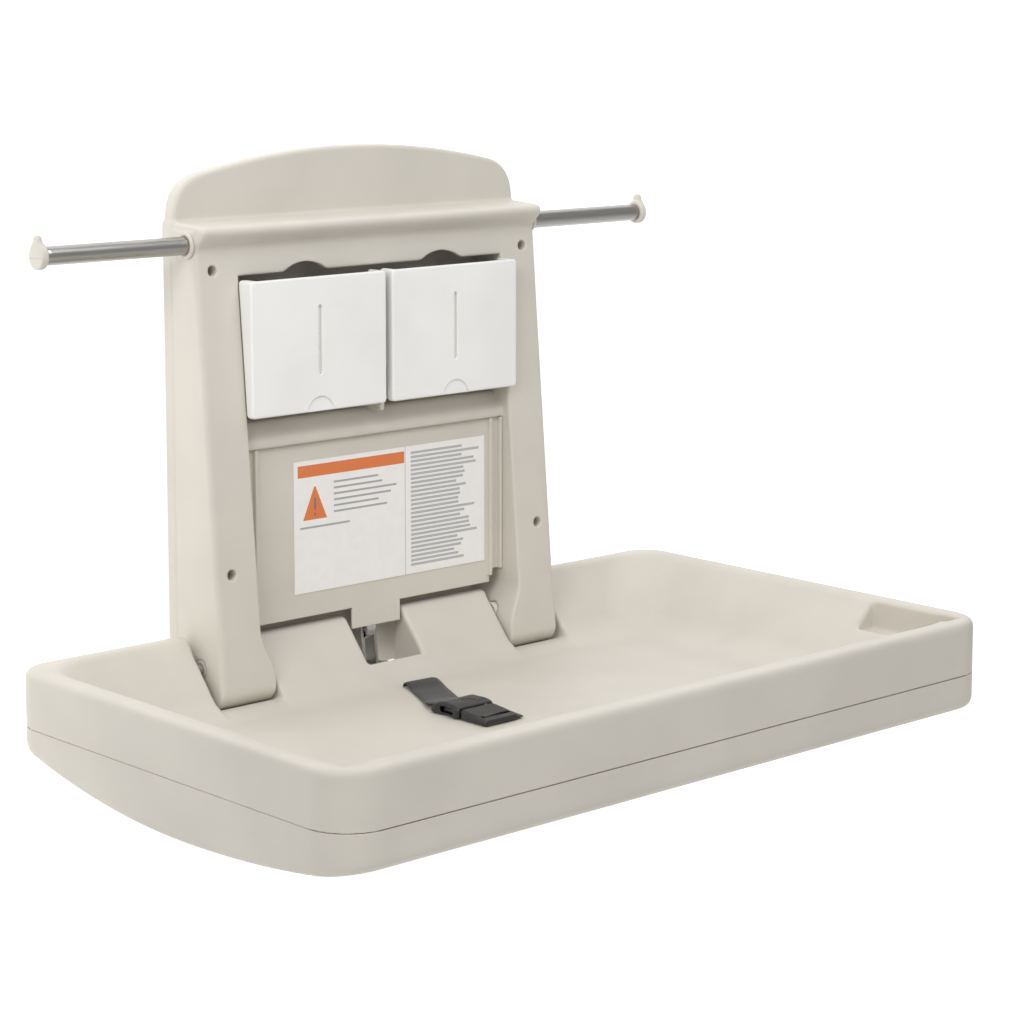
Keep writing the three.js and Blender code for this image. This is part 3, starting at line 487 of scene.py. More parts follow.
# ------------------------------------------------------------------ the label panel
# A flat cover over the gas strut, with two ribs down each side and a tab that closes the top of
# the strut's channel. It is clipped between the posts, and its lower corners clear the feet.
def panel_field(x, y, z):
    """The sheet, its tab and its ribs, less the two corners over the feet."""
    side = np.abs(x)
    edge = panel_high[0]
    face = panel_low[1] + 5 * mm
    top = panel_high[2]
    sheet = block(x, y, z, ((-edge, edge), (face, panel_high[1]), (10 * mm, top)), 1 * mm)
    tab = block(x, y, z, ((-32 * mm, 32 * mm), (face, panel_high[1]), (panel_low[2], 14 * mm)), 1 * mm)
    solid = np.minimum(sheet, tab)
    for inset in (0, 14 * mm):
        rib = (edge - inset - 4 * mm, edge - inset)
        rib = block(side, y, z, (rib, (panel_low[1], panel_high[1]), (18 * mm, top)), 1.4 * mm)
        solid = soft_min(solid, rib, 1.5 * mm)
    foot = soft_max(foot_inner - 0.3 * mm - side, z - 24.3 * mm, 2 * mm)
    return np.maximum(solid, -foot)


label_panel = moulded(
    "label_panel_sheet",
    both_sides((0, 27, 9), (27, 37, 1.2), (37, 148, 9), (148, 176, 1)),
    spaced((-60, -47, 0.7)),
    spaced((-15, -9, 1), (-9, 7, 3), (7, 30, 1.4), (30, 180, 9), (180, 191, 1.2)), panel_field)
stands_for(label_panel, "wall_unit", ["label_panel"], lit_unit_plastic)

# ------------------------------------------------------------------ the information label
# A printed film on the panel: white, with an orange band, a plain orange triangle, and grey bars
# in place of words. Each ink is a thin raised shape of its own.
label_low, label_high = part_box("info_label")


def glossy(name, colour, roughness, metallic=0.0, scale=300, stretch=(1, 1, 1), depth=0.0, mix=0.04):
    """A thin clean finish: one colour in two close shades, a little variation in its gloss, and
    where depth is given a bump. Stretch draws the pattern out along an axis, as brushing does."""
    material = bpy.data.materials.new(name)
    material.use_nodes = True
    nodes, links = material.node_tree.nodes, material.node_tree.links
    shader = nodes["Principled BSDF"]
    shader.inputs["Metallic"].default_value = metallic
    mapping = nodes.new("ShaderNodeMapping")
    mapping.inputs["Scale"].default_value = stretch
    links.new(nodes.new("ShaderNodeTexCoord").outputs["Object"], mapping.inputs["Vector"])
    texture = nodes.new("ShaderNodeTexNoise")
    texture.inputs["Scale"].default_value = scale
    texture.inputs["Detail"].default_value = 3
    links.new(mapping.outputs["Vector"], texture.inputs["Vector"])
    shades = nodes.new("ShaderNodeValToRGB")
    shades.color_ramp.elements[0].color = (*(c * (1 - mix) for c in colour), 1)
    shades.color_ramp.elements[1].color = (*(min(c * (1 + mix), 1) for c in colour), 1)
    links.new(texture.outputs["Fac"], shades.inputs["Fac"])
    links.new(shades.outputs["Color"], shader.inputs["Base Color"])
    gloss = nodes.new("ShaderNodeMapRange")
    gloss.inputs["To Min"].default_value = max(roughness - 0.06, 0.02)
    gloss.inputs["To Max"].default_value = roughness + 0.06
    links.new(texture.outputs["Fac"], gloss.inputs["Value"])
    links.new(gloss.outputs["Result"], shader.inputs["Roughness"])
    if depth:
        bump = nodes.new("ShaderNodeBump")
        bump.inputs["Strength"].default_value = 0.5
        bump.inputs["Distance"].default_value = depth
        links.new(texture.outputs["Fac"], bump.inputs["Height"])
        links.new(bump.outputs["Normal"], shader.inputs["Normal"])
    return material


def plate(name, quads, back, front):
    """Thin plates facing the room: each row of quads holds four corners in x and z, anticlockwise
    as seen from the room. A front and a back copy of the corners are joined round the edge."""
    quads = np.asarray(quads, dtype=float)
    count = len(quads)
    flat = quads.reshape(-1, 2)
    points = np.concatenate([
        np.column_stack((flat[:, 0], np.full(len(flat), depth), flat[:, 1]))
        for depth in (front, back)])
    first = np.arange(count)[:, None] * 4
    ahead = np.array([0, 1, 2, 3])
    after = np.array([1, 2, 3, 0])
    behind = 4 * count
    faces = [first + ahead, first + ahead[::-1] + behind]
    for a, b in zip(ahead, after):
        faces.append(first + np.array([a, a + behind, b + behind, b]))
    made = piece(name, points, np.concatenate(faces))
    made.data.shade_flat()
    return made


def oblong(x0, x1, z0, z1):
    """Four corners of an upright oblong, anticlockwise as seen from the room."""
    return [(x0, z0), (x1, z0), (x1, z1), (x0, z1)]


label_face = label_low[1]
film = plate("label_film", [oblong(label_low[0], label_high[0], label_low[2], label_high[2])],
             label_high[1], label_face + 0.12 * mm)
stands_for(film, "wall_unit", ["info_label"],
           glossy("label_film", (0.93, 0.915, 0.9), 0.34, scale=120))

label_width = label_high[0] - label_low[0]
label_height = label_high[2] - label_low[2]
split = label_low[0] + 0.57 * label_width


def on_label(across, up):
    """A place on the label from shares of its width and height."""
    return label_low[0] + across * label_width, label_low[2] + up * label_height


def ruled(x0, x1, z_top, z_bottom, rows, height, seed):
    """Bars one below the other in place of lines of words, each stopping short by its own amount."""
    short = np.random.default_rng(seed).uniform(0.62, 1, rows)
    tops = np.linspace(z_top, z_bottom + height, rows)
    return [oblong(x0, x0 + (x1 - x0) * part, top - height, top) for part, top in zip(short, tops)]


left, low = on_label(0.02, 0.875)
right, high = on_label(0.565, 0.965)
band = [oblong(left, right, low, high)]
left, low = on_label(0.045, 0.55)
right, high = on_label(0.165, 0.8)
peak = ((left + right) / 2, high)
triangle = [[(left, low), (right, low), (peak[0] + 0.8 * mm, peak[1]), (peak[0] - 0.8 * mm, peak[1])]]
mark_x = (left + right) / 2
mark = [oblong(mark_x - 1.1 * mm, mark_x + 1.1 * mm, low + 10 * mm, low + 22 * mm),
        oblong(mark_x - 1.2 * mm, mark_x + 1.2 * mm, low + 4 * mm, low + 6.6 * mm)]
words = ruled(on_label(0.2, 0)[0], on_label(0.55, 0)[0], on_label(0, 0.82)[1], on_label(0, 0.58)[1],
              6, 2 * mm, 3)
words += ruled(on_label(0.03, 0)[0], on_label(0.3, 0)[0], on_label(0, 0.5)[1], on_label(0, 0.45)[1],
               1, 2 * mm, 5)
small = ruled(on_label(0.6, 0)[0], on_label(0.97, 0)[0], on_label(0, 0.955)[1], on_label(0, 0.06)[1],
              27, 2.6 * mm, 8)
fence = [oblong(split - 0.3 * mm, split + 0.3 * mm, label_low[2], label_high[2])]
inks = (
    ("label_band", band + triangle, (0.78, 0.22, 0.07), 0.0),
    ("label_mark", mark, (0.2, 0.19, 0.18), 0.02),
    ("label_words", words + fence, (0.42, 0.42, 0.43), 0.0),
    ("label_small_print", small, (0.5, 0.51, 0.52), 0.0))
for name, quads, colour, lift in inks:
    ink = plate(name, quads, label_face + 0.13 * mm, label_face + (0.05 - lift) * mm)
    stands_for(ink, "wall_unit", [], glossy(name, colour, 0.4, scale=150))

# ------------------------------------------------------------------ the liner dispensers
# Two white moulded bins that tilt out on rods. Each has a cover plate with a slot for pulling a
# liner through and a thumb recess below, and a pleated stack of paper inside.
white_plastic = moulded_plastic("white_polystyrene", (0.93, 0.93, 0.92), 0.36, 0.5)
paper = glossy("liner_paper", (0.84, 0.82, 0.78), 0.85, scale=500, stretch=(0.2, 1, 3),
               depth=0.1 * mm, mix=0.06)


def bin_field(x, y, z):
    """Cover and bin as one, less its hollow, the slot and the thumb recess; x is from the middle
    of the unit, whichever side the bin is on."""
    side = np.abs(x)
    inner, outer = bin_low[0], bin_high[0]
    front, bottom, top = bin_low[1], bin_low[2], bin_high[2]
    seat = (y - post_front(z) + 0.8 * mm) / math.hypot(1, post_lean)
    cover = soft_max(between(side, inner, outer), between(z, bottom, top), 4 * mm)
    cover = soft_max(cover, np.maximum(front - y, seat), 2.6 * mm)
    mouth = front + 29 * mm
    walls = (inner + 4 * mm, post_inner - 4 * mm)
    leaning = outline(y, z, [
        (front + 2 * mm, bottom + 2 * mm), (mouth + 18 * mm, bottom + 2 * mm),
        (mouth, top - 6 * mm), (front + 2 * mm, top - 6 * mm)], 2 * mm)
    hollow = outline(y, z, [
        (front + 3 * mm, bottom + 5 * mm), (mouth + 15 * mm, bottom + 5 * mm),
        (mouth - 5 * mm, top + 9 * mm), (front + 3 * mm, top + 9 * mm)], 1 * mm)
    tray = np.maximum(leaning, between(side, *walls))
    hollow = np.maximum(hollow, between(side, walls[0] + 2.8 * mm, walls[1] - 2.8 * mm))
    middle = (inner + outer) / 2
    rise = (bottom + top) / 2 + 4 * mm
    slot_end = np.maximum(np.abs(z - rise) - 35 * mm + 2.25 * mm, 0)
    slot = np.hypot(side - middle, slot_end) - 2.25 * mm
    slot = np.maximum(slot, y - front - 6 * mm)
    thumb = drum(side, z, middle, bottom - 2 * mm, 17 * mm)
    thumb = np.maximum(thumb, y - front - 1.6 * mm)
    solid = np.maximum(soft_min(cover, tray, 0.6 * mm), -hollow)
    return soft_max(soft_max(solid, -slot, 1 * mm), -thumb, 0.8 * mm)


def pleats(name, low, high, folds):
    """A stack of folded paper: a zigzag edge, front and back, carried along x and closed at its
    ends by strips between the two edges. Depth is a triangle wave of height."""
    z = np.linspace(low[2], high[2], 2 * folds + 1)
    wave = np.arange(2 * folds + 1) % 2
    front = low[1] + 0.3 * mm * wave
    back = high[1] - 0.3 * mm * wave
    rows = len(z)
    points = np.concatenate([
        np.column_stack((np.full(rows, x), depth, z))
        for x in (low[0], high[0]) for depth in (front, back)])
    a, b, c, d = (np.arange(rows - 1) + rows * k for k in range(4))
    faces = [np.stack(ring, axis=1) for ring in (
        (a, c, c + 1, a + 1), (b, b + 1, d + 1, d), (a, a + 1, b + 1, b), (c, d, d + 1, c + 1))]
    ends = [[0, rows, 3 * rows, 2 * rows], [rows - 1, 3 * rows - 1, 4 * rows - 1, 2 * rows - 1]]
    made = piece(name, points, np.concatenate((*faces, np.array(ends))))
    made.data.shade_flat()
    return made


for side, hand in ((-1, "left"), (1, "right")):
    lines_x = spaced((2, 6, 1), (6, 12, 1), (12, 70, 5.8), (70, 85, 1.5), (85, 93, 0.8), (93, 109, 1.6),
                     (109, 163, 6), (163, 177, 1))
    dispenser = moulded(
        f"dispenser_{hand}_shell", np.sort(side * lines_x),
        spaced((-79, -70, 0.7), (-70, -50, 1.6), (-50, -26, 1.3)),
        spaced((221, 243, 1.2), (243, 256, 3), (256, 262, 1), (262, 326, 6), (326, 334, 1),
               (334, 346, 4), (346, 361, 1)),
        bin_field)
    body = f"dispenser_{hand}"
    stands_for(dispenser, body, [f"dispenser_bin_{hand}"], white_plastic)
    stack = pleats(f"liner_stack_{hand}_paper", *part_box(f"liner_stack_{hand}"), 38)
    stands_for(stack, body, [f"liner_stack_{hand}"], paper)

# ------------------------------------------------------------------ the bag bars
# A satin steel tube on each side, set in the post through a moulded collar, and closed by a round
# cap whose upturned lip keeps a bag's handle on.
satin_steel = glossy("satin_steel", (0.42, 0.41, 0.395), 0.3, 1.0, 900, (0.04, 1, 1), 0.03 * mm, 0.12)


def turned(name, profile, centre_y, centre_z, around=64):
    """A turned piece: a profile of (x, radius) carried round the bar's axis. It either runs from
    the axis back to the axis, or ends where it began, as a ring. The area it encloses, with its
    sign, tells which way the faces have to turn."""
    ring = profile[0] == profile[-1]
    x, r = np.array(profile[:-1] if ring else profile).T
    angle = np.linspace(0, 2 * np.pi, around, endpoint=False)
    points = np.stack(np.broadcast_arrays(
        x[:, None], centre_y + r[:, None] * np.cos(angle), centre_z + r[:, None] * np.sin(angle)), -1)
    count = len(x)
    row, column = np.meshgrid(np.arange(count if ring else count - 1), np.arange(around), indexing="ij")
    below, beside = (row + 1) % count, (column + 1) % around
    corners = ((row, column), (row, beside), (below, beside), (below, column))
    faces = np.stack([(a * around + b).ravel() for a, b in corners], axis=1)
    if (x * np.roll(r, -1) - np.roll(x, -1) * r).sum() > 0:
        faces = faces[:, ::-1]
    return piece(name, points.reshape(-1, 3), faces)


def cap_field(x, y, z):
    """A round cap with a lip that rises from its outer half, all edges eased."""
    low, high = cap_box
    outer = high[0] if high[0] > 0 else -low[0]
    inner = low[0] if high[0] > 0 else -high[0]
    side = np.abs(x)
    disc = soft_max(drum(y, z, bar_y, bar_z, 12.5 * mm), between(side, inner, outer), 2.4 * mm)
    narrowing = 6.4 * mm - 0.26 * (z - bar_z - 8 * mm)
    lip = soft_max(np.abs(y - bar_y) - narrowing, between(side, inner + 2 * mm, outer), 2 * mm)
    lip = soft_max(lip, z - high[2], 3 * mm)
    lip = np.maximum(lip, bar_z - z)
    return soft_min(disc, lip, 3 * mm)


for side, hand in ((-1, "left"), (1, "right")):
    low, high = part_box(f"bag_bar_{hand}")
    r = (high[2] - low[2]) / 2
    ease = 0.7 * mm
    tube = turned(f"bag_bar_{hand}_tube", [
        (low[0], 0), (low[0], r - ease), (low[0] + ease, r), *(
            (x, r) for x in np.linspace(low[0] + 5 * mm, high[0] - 5 * mm, 12)),
        (high[0] - ease, r), (high[0], r - ease), (high[0], 0)], bar_y, bar_z)
    stands_for(tube, "wall_unit", [f"bag_bar_{hand}"], satin_steel)
    cap_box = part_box(f"bar_cap_{hand}")
    reach = np.arange(-1, 9.6, 0.7) * mm + abs(cap_box[0][0] if side > 0 else cap_box[1][0])
    cap = moulded(
        f"bar_cap_{hand}_lipped", np.sort(side * reach),
        np.arange(-14, 14.4, 0.8) * mm + bar_y, np.arange(-14, 23, 0.8) * mm + bar_z, cap_field)
    stands_for(cap, "wall_unit", [f"bar_cap_{hand}"], lit_unit_plastic)
    low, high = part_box(f"bar_collar_{hand}")
    root, tip = (low[0], high[0]) if side > 0 else (high[0], low[0])
    inner, outer = r + 0.3 * mm, (high[2] - low[2]) / 2
    ring = [(root, inner), (root, outer), (tip - side * 1.4 * mm, outer), (tip - side * 0.4 * mm,
            outer - 0.5 * mm), (tip, outer - 1.6 * mm), (tip, inner), (root, inner)]
    collar = turned(f"bar_collar_{hand}_ring", ring, bar_y, bar_z)
    stands_for(collar, "wall_unit", [f"bar_collar_{hand}"], lit_unit_plastic)

# ------------------------------------------------------------------ the strap and its buckle
# Black polypropylene webbing that comes up through a slit in the bed's floor and lies across it to
# a side-squeeze buckle; the loose end of the strap hangs out of the buckle's other half.
strap_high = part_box("strap")[1]
socket_low, socket_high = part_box("buckle_socket")
tongue_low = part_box("buckle_tongue")[0]
webbing = bpy.data.materials.new("webbing")
webbing.use_nodes = True
nodes, links = webbing.node_tree.nodes, webbing.node_tree.links
shader = nodes["Principled BSDF"]
shader.inputs["Roughness"].default_value = 0.8
shader.inputs["Sheen Weight"].default_value = 0.25
along = nodes.new("ShaderNodeUVMap")
along.uv_map = "weave"
ribs = []
for direction, scale in (("X", 6), ("Y", 200)):
    wave = nodes.new("ShaderNodeTexWave")
    wave.bands_direction = direction
    wave.inputs["Scale"].default_value = scale
    wave.inputs["Distortion"].default_value = 0.6
    links.new(along.outputs["UV"], wave.inputs["Vector"])
    ribs.append(wave.outputs["Fac"])
weave = nodes.new("ShaderNodeMath")
weave.operation = "MULTIPLY"
links.new(ribs[0], weave.inputs[0])
links.new(ribs[1], weave.inputs[1])
tint = nodes.new("ShaderNodeValToRGB")
tint.color_ramp.elements[0].color = (0.006, 0.006, 0.006, 1)
tint.color_ramp.elements[1].color = (0.035, 0.034, 0.032, 1)
links.new(weave.outputs["Value"], tint.inputs["Fac"])
links.new(tint.outputs["Color"], shader.inputs["Base Color"])
bump = nodes.new("ShaderNodeBump")
bump.inputs["Strength"].default_value = 0.7
bump.inputs["Distance"].default_value = 0.35 * mm
links.new(weave.outputs["Value"], bump.inputs["Height"])
links.new(bump.outputs["Normal"], shader.inputs["Normal"])


def ribbon(name, middle, across, up, width, thickness, columns=13):
    """Flat webbing: a rounded-edge section carried along a middle line. Each row of the line has
    its own way across and way up; the weave's UV runs 0 to 1 across and in metres along."""
    middle, across, up = (np.asarray(a, dtype=float) for a in (middle, across, up))
    share = np.linspace(-1, 1, columns)
    body = thickness / 2 * np.sqrt(np.clip(1 - np.abs(share) ** 9, 0.02, 1))
    share = np.concatenate((share, share[::-1]))
    lift = np.concatenate((body, -body))
    points = (middle[:, None] + across[:, None] * (share * width / 2)[:, None]
              + up[:, None] * lift[:, None])
    rows, ring_size = points.shape[:2]
    i, j = np.meshgrid(np.arange(rows - 1), np.arange(ring_size), indexing="ij")
    after = (j + 1) % ring_size
    corners = (i * ring_size + j, (i + 1) * ring_size + j,
               (i + 1) * ring_size + after, i * ring_size + after)
    faces = np.stack([c.ravel() for c in corners], axis=1)
    k = np.arange(columns - 1)
    other = ring_size - 1 - k
    first = np.stack((k, k + 1, other - 1, other), axis=1)
    last = (first + (rows - 1) * ring_size)[:, ::-1]
    made = piece(name, points.reshape(-1, 3), np.concatenate((faces, first, last)))
    run = np.append(0, np.cumsum(np.linalg.norm(np.diff(middle, axis=0), axis=1)))
    u = np.tile((share + 1) / 2, rows)
    v = np.repeat(run, ring_size)
    loops = np.empty(len(made.data.loops), dtype=np.int32)
    made.data.loops.foreach_get("vertex_index", loops)
    layer = made.data.uv_layers.new(name="weave")
    layer.data.foreach_set("uv", np.column_stack((u, v))[loops].ravel())
    made.data.materials.append(webbing)
    return made


def laid(name, corners, width, thickness, step=1.6 * mm, ease=7):
    """Webbing laid through corners of (x, y, z, turn) in millimetres and degrees. The bends are
    eased by two running means; turn swings its width level, and its way up is square to both."""
    corners = np.asarray(corners, dtype=float) * (mm, mm, mm, math.pi / 180)
    run = np.append(0, np.cumsum(np.linalg.norm(np.diff(corners[:, :3], axis=0), axis=1)))
    at = np.linspace(0, run[-1], round(run[-1] / step))
    line = np.stack([np.interp(at, run, column) for column in corners.T], axis=1)
    for _ in range(2):
        longer = np.concatenate((
            2 * line[0] - line[ease // 2:0:-1], line, 2 * line[-1] - line[-2:-2 - ease // 2:-1]))
        line = np.stack([np.convolve(c, np.ones(ease) / ease, "valid") for c in longer.T], axis=1)
    ahead = np.gradient(line[:, :3], axis=0)
    ahead /= np.linalg.norm(ahead, axis=1)[:, None]
    across = np.stack((np.cos(line[:, 3]), np.sin(line[:, 3]), np.zeros(len(line))), axis=1)
    up = np.cross(ahead, across)
    up /= np.linalg.norm(up, axis=1)[:, None]
    return ribbon(name, line[:, :3], across, up, width, thickness)


slit_x = (strap_high[0] - 19 * mm) / mm
slit_y = (strap_high[1] - 1 * mm) / mm
buckle_x = (socket_low[0] + socket_high[0]) / 2 / mm
buckle_back = socket_high[1] / mm
split_y = socket_low[1] / mm
buckle_end = tongue_low[1] / mm
low_z = socket_low[2] / mm
strap_width = 38 * mm
strap_piece = laid("strap_webbing", [
    (slit_x, slit_y, low_z - 7, 0), (slit_x, slit_y, low_z - 1, 0),
    (slit_x, slit_y - 1, low_z + 3.5, 0),
    (slit_x - 0.5, slit_y - 5, low_z + 5.5, -4), (slit_x - 3, slit_y - 13, low_z + 4.5, -12),
    (slit_x - 9, slit_y - 28, low_z + 1.6, -21), (slit_x - 20, slit_y - 52, low_z + 1.4, -23),
    (slit_x - 31, slit_y - 74, low_z + 2.2, -18), (buckle_x + 2, buckle_back + 9, low_z + 5.4, -8),
    (buckle_x, buckle_back + 2, low_z + 6.9, 0), (buckle_x, buckle_back - 4, low_z + 7, 0),
    (buckle_x, buckle_back - 7.4, low_z + 5, 0), (buckle_x, buckle_back - 7.6, low_z + 1.2, 0)],
    strap_width, 1.7 * mm)
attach(strap_piece, "bed")
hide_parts("strap")

tail = laid("strap_tail_webbing", [
    (buckle_x, buckle_end + 11, low_z + 8.4, 0), (buckle_x + 0.5, buckle_end + 10.4, low_z + 5, 10),
    (buckle_x + 3, buckle_end + 11, low_z + 1.6, 30), (buckle_x + 8, buckle_end + 14, low_z + 1.2, 60),
    (buckle_x + 19, buckle_end + 17, low_z + 1.2, 76),
    (buckle_x + 31, buckle_end + 17.5, low_z + 2, 82)],
    33 * mm, 1.6 * mm)
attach(tail, "buckle_half")
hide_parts("strap_tail")

cavity_sides = ((buckle_x - 20.4) * mm, (buckle_x + 20.4) * mm)
slot_sides = ((buckle_x - 17.6) * mm, (buckle_x + 17.6) * mm)
black_nylon = glossy("black_nylon", (0.022, 0.022, 0.023), 0.34, scale=420, depth=0.05 * mm, mix=0.2)


def socket_field(x, y, z):
    """The buckle's outer half: a flattened shell with a window each side, and a bar at its back
    end that the strap goes round."""
    side = np.abs(x - buckle_x * mm)
    shell = side_outline(y, z, [
        (buckle_back, low_z), (buckle_back, low_z + 6), (buckle_back - 12, low_z + 13.5),
        (split_y + 6, low_z + 13.5), (split_y, low_z + 11), (split_y, low_z)], 4 * mm)
    waist = 24 * mm - 2.2 * mm * np.exp(-((y / mm - (buckle_back + split_y) / 2) / 9) ** 2)
    shell = soft_max(shell, side - waist, 4 * mm)
    inside = block(x, y, z, (
        cavity_sides, ((split_y - 3) * mm, (buckle_back - 11) * mm),
        ((low_z + 2.3) * mm, (low_z + 9.6) * mm)), 1.5 * mm)
    window = np.maximum(17 * mm - side, block(x, y, z, (
        (-1, 1), ((split_y + 8) * mm, (buckle_back - 14) * mm),
        ((low_z + 2.8) * mm, (low_z + 9) * mm)), 2.5 * mm))
    loop = block(x, y, z, (
        cavity_sides, ((buckle_back - 9.6) * mm, (buckle_back - 5.2) * mm),
        ((low_z - 3) * mm, (low_z + 16) * mm)), 1 * mm)
    above_bar = block(x, y, z, (
        cavity_sides, ((buckle_back - 8) * mm, (buckle_back + 4) * mm),
        ((low_z + 5.4) * mm, (low_z + 16) * mm)), 1 * mm)
    grip = drum(x, y, buckle_x * mm, (split_y + 12) * mm, 8 * mm)
    grip = np.maximum(grip, (low_z + 12.9) * mm - z)
    for space in (inside, window, loop, above_bar, grip):
        shell = soft_max(shell, -space, 0.7 * mm)
    return shell


def tongue_field(x, y, z):
    """The buckle's inner half: a head with a slot for the webbing, and two prongs with a catch."""
    side = np.abs(x - buckle_x * mm)
    head = side_outline(y, z, [
        (split_y - 0.3, low_z), (split_y - 0.3, low_z + 10.5), (split_y - 14, low_z + 10),
        (buckle_end, low_z + 6), (buckle_end, low_z)], 3 * mm)
    head = soft_max(head, side - 22 * mm, 4 * mm)
    prong = block(side, y, z, (
        (11 * mm, 17 * mm), ((split_y - 4) * mm, (buckle_back - 14) * mm),
        ((low_z + 3.2) * mm, (low_z + 8.3) * mm)), 1.4 * mm)
    catch = block(side, y, z, (
        (15 * mm, 19.6 * mm), ((split_y + 11) * mm, (buckle_back - 16) * mm),
        ((low_z + 3.4) * mm, (low_z + 8.1) * mm)), 2 * mm)
    slot = block(x, y, z, (
        slot_sides, ((buckle_end + 8) * mm, (buckle_end + 12.6) * mm),
        ((low_z - 3) * mm, (low_z + 16) * mm)), 1 * mm)
    return soft_max(soft_min(head, soft_min(prong, catch, 1 * mm), 1 * mm), -slot, 0.7 * mm)


buckle_lines_x = np.arange(-26, 26.5, 0.8) * mm + buckle_x * mm
buckle_lines_z = np.arange(-1, 15.2, 0.6) * mm + low_z * mm
socket = moulded(
    "buckle_socket_shell", buckle_lines_x,
    np.arange(split_y - 1.5, buckle_back + 2, 0.7) * mm, buckle_lines_z, socket_field)
stands_for(socket, "bed", ["buckle_socket"], black_nylon)
tongue = moulded(
    "buckle_tongue_shell", buckle_lines_x,
    np.arange(buckle_end - 1.5, buckle_back - 12, 0.8) * mm, buckle_lines_z, tongue_field)
stands_for(tongue, "buckle_half", ["buckle_tongue"], black_nylon)

# ------------------------------------------------------------------ screws
# Zinc-plated steel screws with a cross recess: four that hold the unit to the wall, sunk in its
# posts, and six that hold the bed's base to the pan.
zinc = glossy("zinc_plate", (0.46, 0.465, 0.47), 0.34, 1.0, 220, depth=0.02 * mm, mix=0.14)


def screw(node, axis, body, head_high):
    """A pan head with a tapering cross recess, on a plain shank; axis is 1 or 2, and the head is at
    the low end of it."""
    low, high = (np.array(end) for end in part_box(node))
    middle = (low + high) / 2
    others = [a for a in (0, 1, 2) if a != axis]
    radius = (high - low)[0] / 2

    def field(x, y, z):
        """A drum with an eased head, a thinner shank and a cross cut whose arms narrow inwards."""
        place = (x, y, z)
        u, v = (place[a] - middle[a] for a in others)
        depth = place[axis] - low[axis]
        across = np.hypot(u, v)
        head = soft_max(across - radius, between(depth, 0, head_high), 1.6 * mm)
        shank = between(depth, 0.5 * head_high, high[axis] - low[axis])
        shank = soft_max(across - 0.66 * radius, shank, 0.4 * mm)
        arm = (0.16 * radius - 0.12 * depth, 0.56 * radius - 0.45 * depth)
        cross = np.minimum(
            np.maximum(np.abs(u) - arm[0], np.abs(v) - arm[1]),
            np.maximum(np.abs(v) - arm[0], np.abs(u) - arm[1]))
        cross = np.maximum(cross, depth - 0.75 * head_high)
        return np.maximum(soft_min(head, shank, 0.3 * mm), -cross)

    fine = np.arange(-radius - 0.6 * mm, radius + 0.7 * mm, radius / 15)
    down = np.concatenate((np.arange(-0.4 * mm, head_high + 0.6 * mm, 0.25 * mm), np.arange(
        head_high + 1 * mm, high[axis] - low[axis] + 0.8 * mm, 0.7 * mm))) + low[axis]
    lines = [middle[a] + fine for a in (0, 1, 2)]
    lines[axis] = down
    made = moulded(node + "_cross_head", *lines, field)
    stands_for(made, body, [node], zinc)


for hand in ("left", "right"):
    for row in ("lower", "upper"):
        screw(f"wall_screw_{hand}_{row}", 1, "wall_unit", 3 * mm)
for number in range(1, 7):
    screw(f"base_screw_{number}", 2, "bed", 2.4 * mm)

# ------------------------------------------------------------------ steel and nylon fittings
# The wall plate, pins, rods and brackets of zinc-plated steel, the hinge's moulded bushes, and the gas
# strut: a black painted cylinder and a polished rod. They keep their shape and take a finish.
black_paint = glossy("black_paint", (0.03, 0.03, 0.032), 0.28, scale=160, depth=0.03 * mm, mix=0.2)
polished = glossy("polished_rod", (0.6, 0.6, 0.61), 0.12, 1.0, 700, (1, 1, 0.05), mix=0.05)
finishes = (
    (zinc, ("wall_plate", "hinge_pin_left", "hinge_pin_right", "dispenser_rod_left",
            "dispenser_rod_right", "strut_bracket_upper", "strut_pin_upper", "strut_bracket_lower",
            "strut_pin_lower", "strap_anchor")),
    (lit_unit_plastic, ("hinge_bush_left", "hinge_bush_right")),
    (black_paint, ("strut_cylinder",)),
    (polished, ("strut_rod",)))
for material, names in finishes:
    for name in names:
        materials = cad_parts[name].data.materials
        materials.clear()
        materials.append(material)

# ------------------------------------------------------------------ floor, wall, light, camera
# A pale floor at the height such a station hangs above it, and a white wall behind. A soft light
# stands at the left, another hangs in front, and a small one is turned on the wall unit's foot.
def card(name, corners, colour, glow):
    """A flat stage card from four corners, of a matt finish that also glows a little."""
    made = piece(name, np.array(corners), np.array([[0, 1, 2, 3]]))
    material = bpy.data.materials.new(name)
    material.use_nodes = True
    shader = material.node_tree.nodes["Principled BSDF"]
    shader.inputs["Base Color"].default_value = (*colour, 1)
    shader.inputs["Roughness"].default_value = 0.9
    shader.inputs["Emission Color"].default_value = (1, 1, 1, 1)
    shader.inputs["Emission Strength"].default_value = glow
    made.data.materials.append(material)
    return material


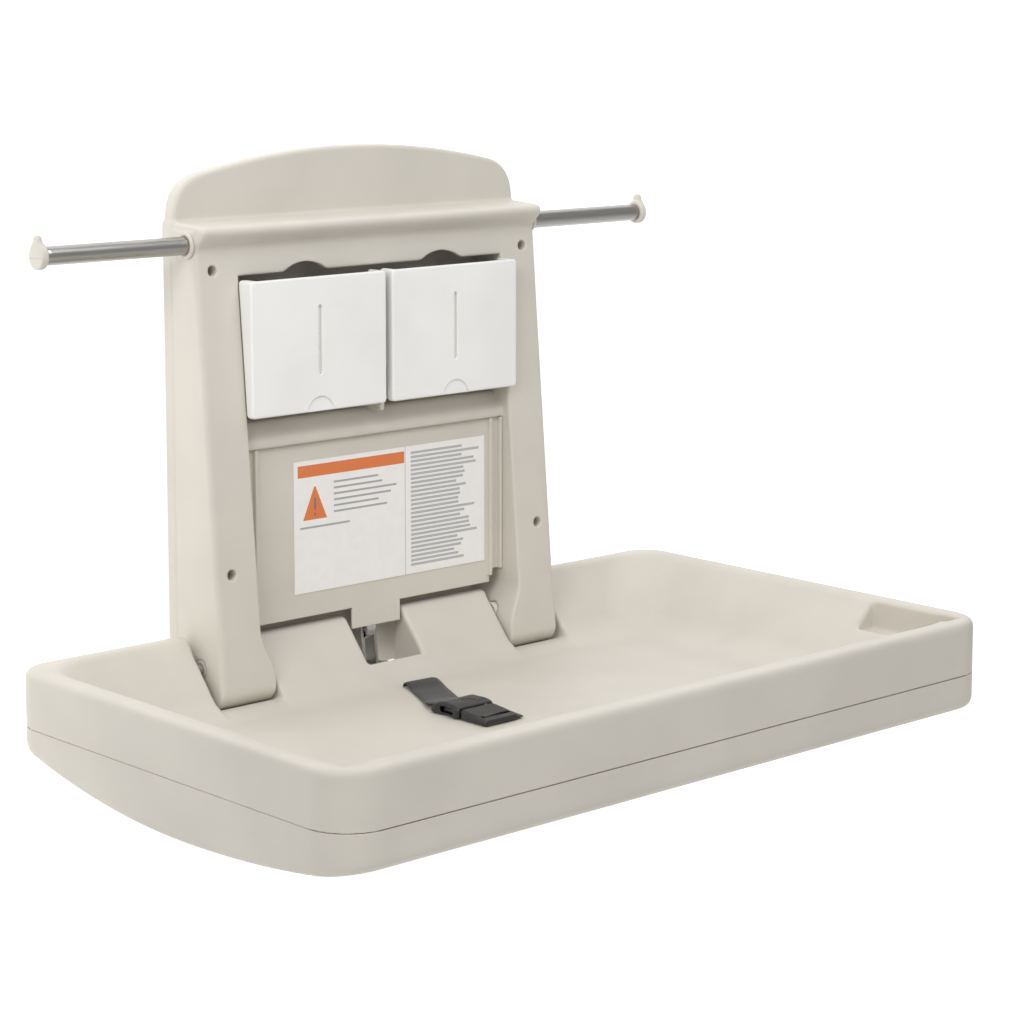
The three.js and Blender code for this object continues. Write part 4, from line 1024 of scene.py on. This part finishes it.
floor_z = -0.85
wall_y = 3 * mm
card("floor", [(-6, -6, floor_z), (6, -6, floor_z), (6, wall_y, floor_z), (-6, wall_y, floor_z)],
     (0.86, 0.85, 0.83), 0.15)
wall = card("wall", [
    (-0.8, wall_y, floor_z), (2.6, wall_y, floor_z), (2.6, wall_y, 2), (-0.8, wall_y, 2)],
    (0.9, 0.9, 0.9), 0.5)

# Seen from behind, the wall lets the view through to the unit's back.
nodes, links = wall.node_tree.nodes, wall.node_tree.links
turned_away = nodes.new("ShaderNodeNewGeometry").outputs["Backfacing"]
mixed = nodes.new("ShaderNodeMixShader")
links.new(turned_away, mixed.inputs[0])
links.new(nodes["Principled BSDF"].outputs[0], mixed.inputs[1])
links.new(nodes.new("ShaderNodeBsdfTransparent").outputs[0], mixed.inputs[2])
links.new(mixed.outputs[0], nodes["Material Output"].inputs["Surface"])

world = bpy.data.worlds.new("studio")
world.use_nodes = True
world.node_tree.nodes["Background"].inputs["Color"].default_value = (1, 1, 1, 1)
world.node_tree.nodes["Background"].inputs["Strength"].default_value = 0.4
bpy.context.scene.world = world


def lamp(name, kind, place, aim, watts):
    """A light turned to face a point; returns its data, for its size to be set."""
    light = bpy.data.lights.new(name, kind)
    light.energy = watts
    made = bpy.data.objects.new(name, light)
    made.location = place
    made.rotation_euler = (Vector(aim) - made.location).to_track_quat("-Z", "Y").to_euler()
    bpy.context.scene.collection.objects.link(made)
    return light


lamp("key", "AREA", (-2.2, -1.2, 1.6), (0, -0.25, 0.1), 24).size = 1.2
lamp("front", "AREA", (0.2, -1.5, 2.3), (0, -0.25, 0.1), 25).size = 1.5
unit_light = lamp("unit_light", "SPOT", (-0.6, -2.0, 1.0), (0, -0.05, 0.1), 26)
unit_light.spot_size = math.radians(13)
unit_light.spot_blend = 1
unit_light.shadow_soft_size = 0.25

camera_yaw = math.radians(-42.463)
camera_fall = math.radians(7.555)
lens = bpy.data.cameras.new("camera")
lens.sensor_width = 36
lens.lens = 96.29
lens.shift_y = -0.1504
lens.clip_start = 0.05
camera = bpy.data.objects.new("camera", lens)
camera.location = (-1.7686, -2.1929, 0.6338)
camera.rotation_euler = (math.pi / 2 - camera_fall, 0, camera_yaw)
bpy.context.scene.collection.objects.link(camera)
bpy.context.scene.camera = camera
bpy.context.scene.view_settings.view_transform = "Standard"
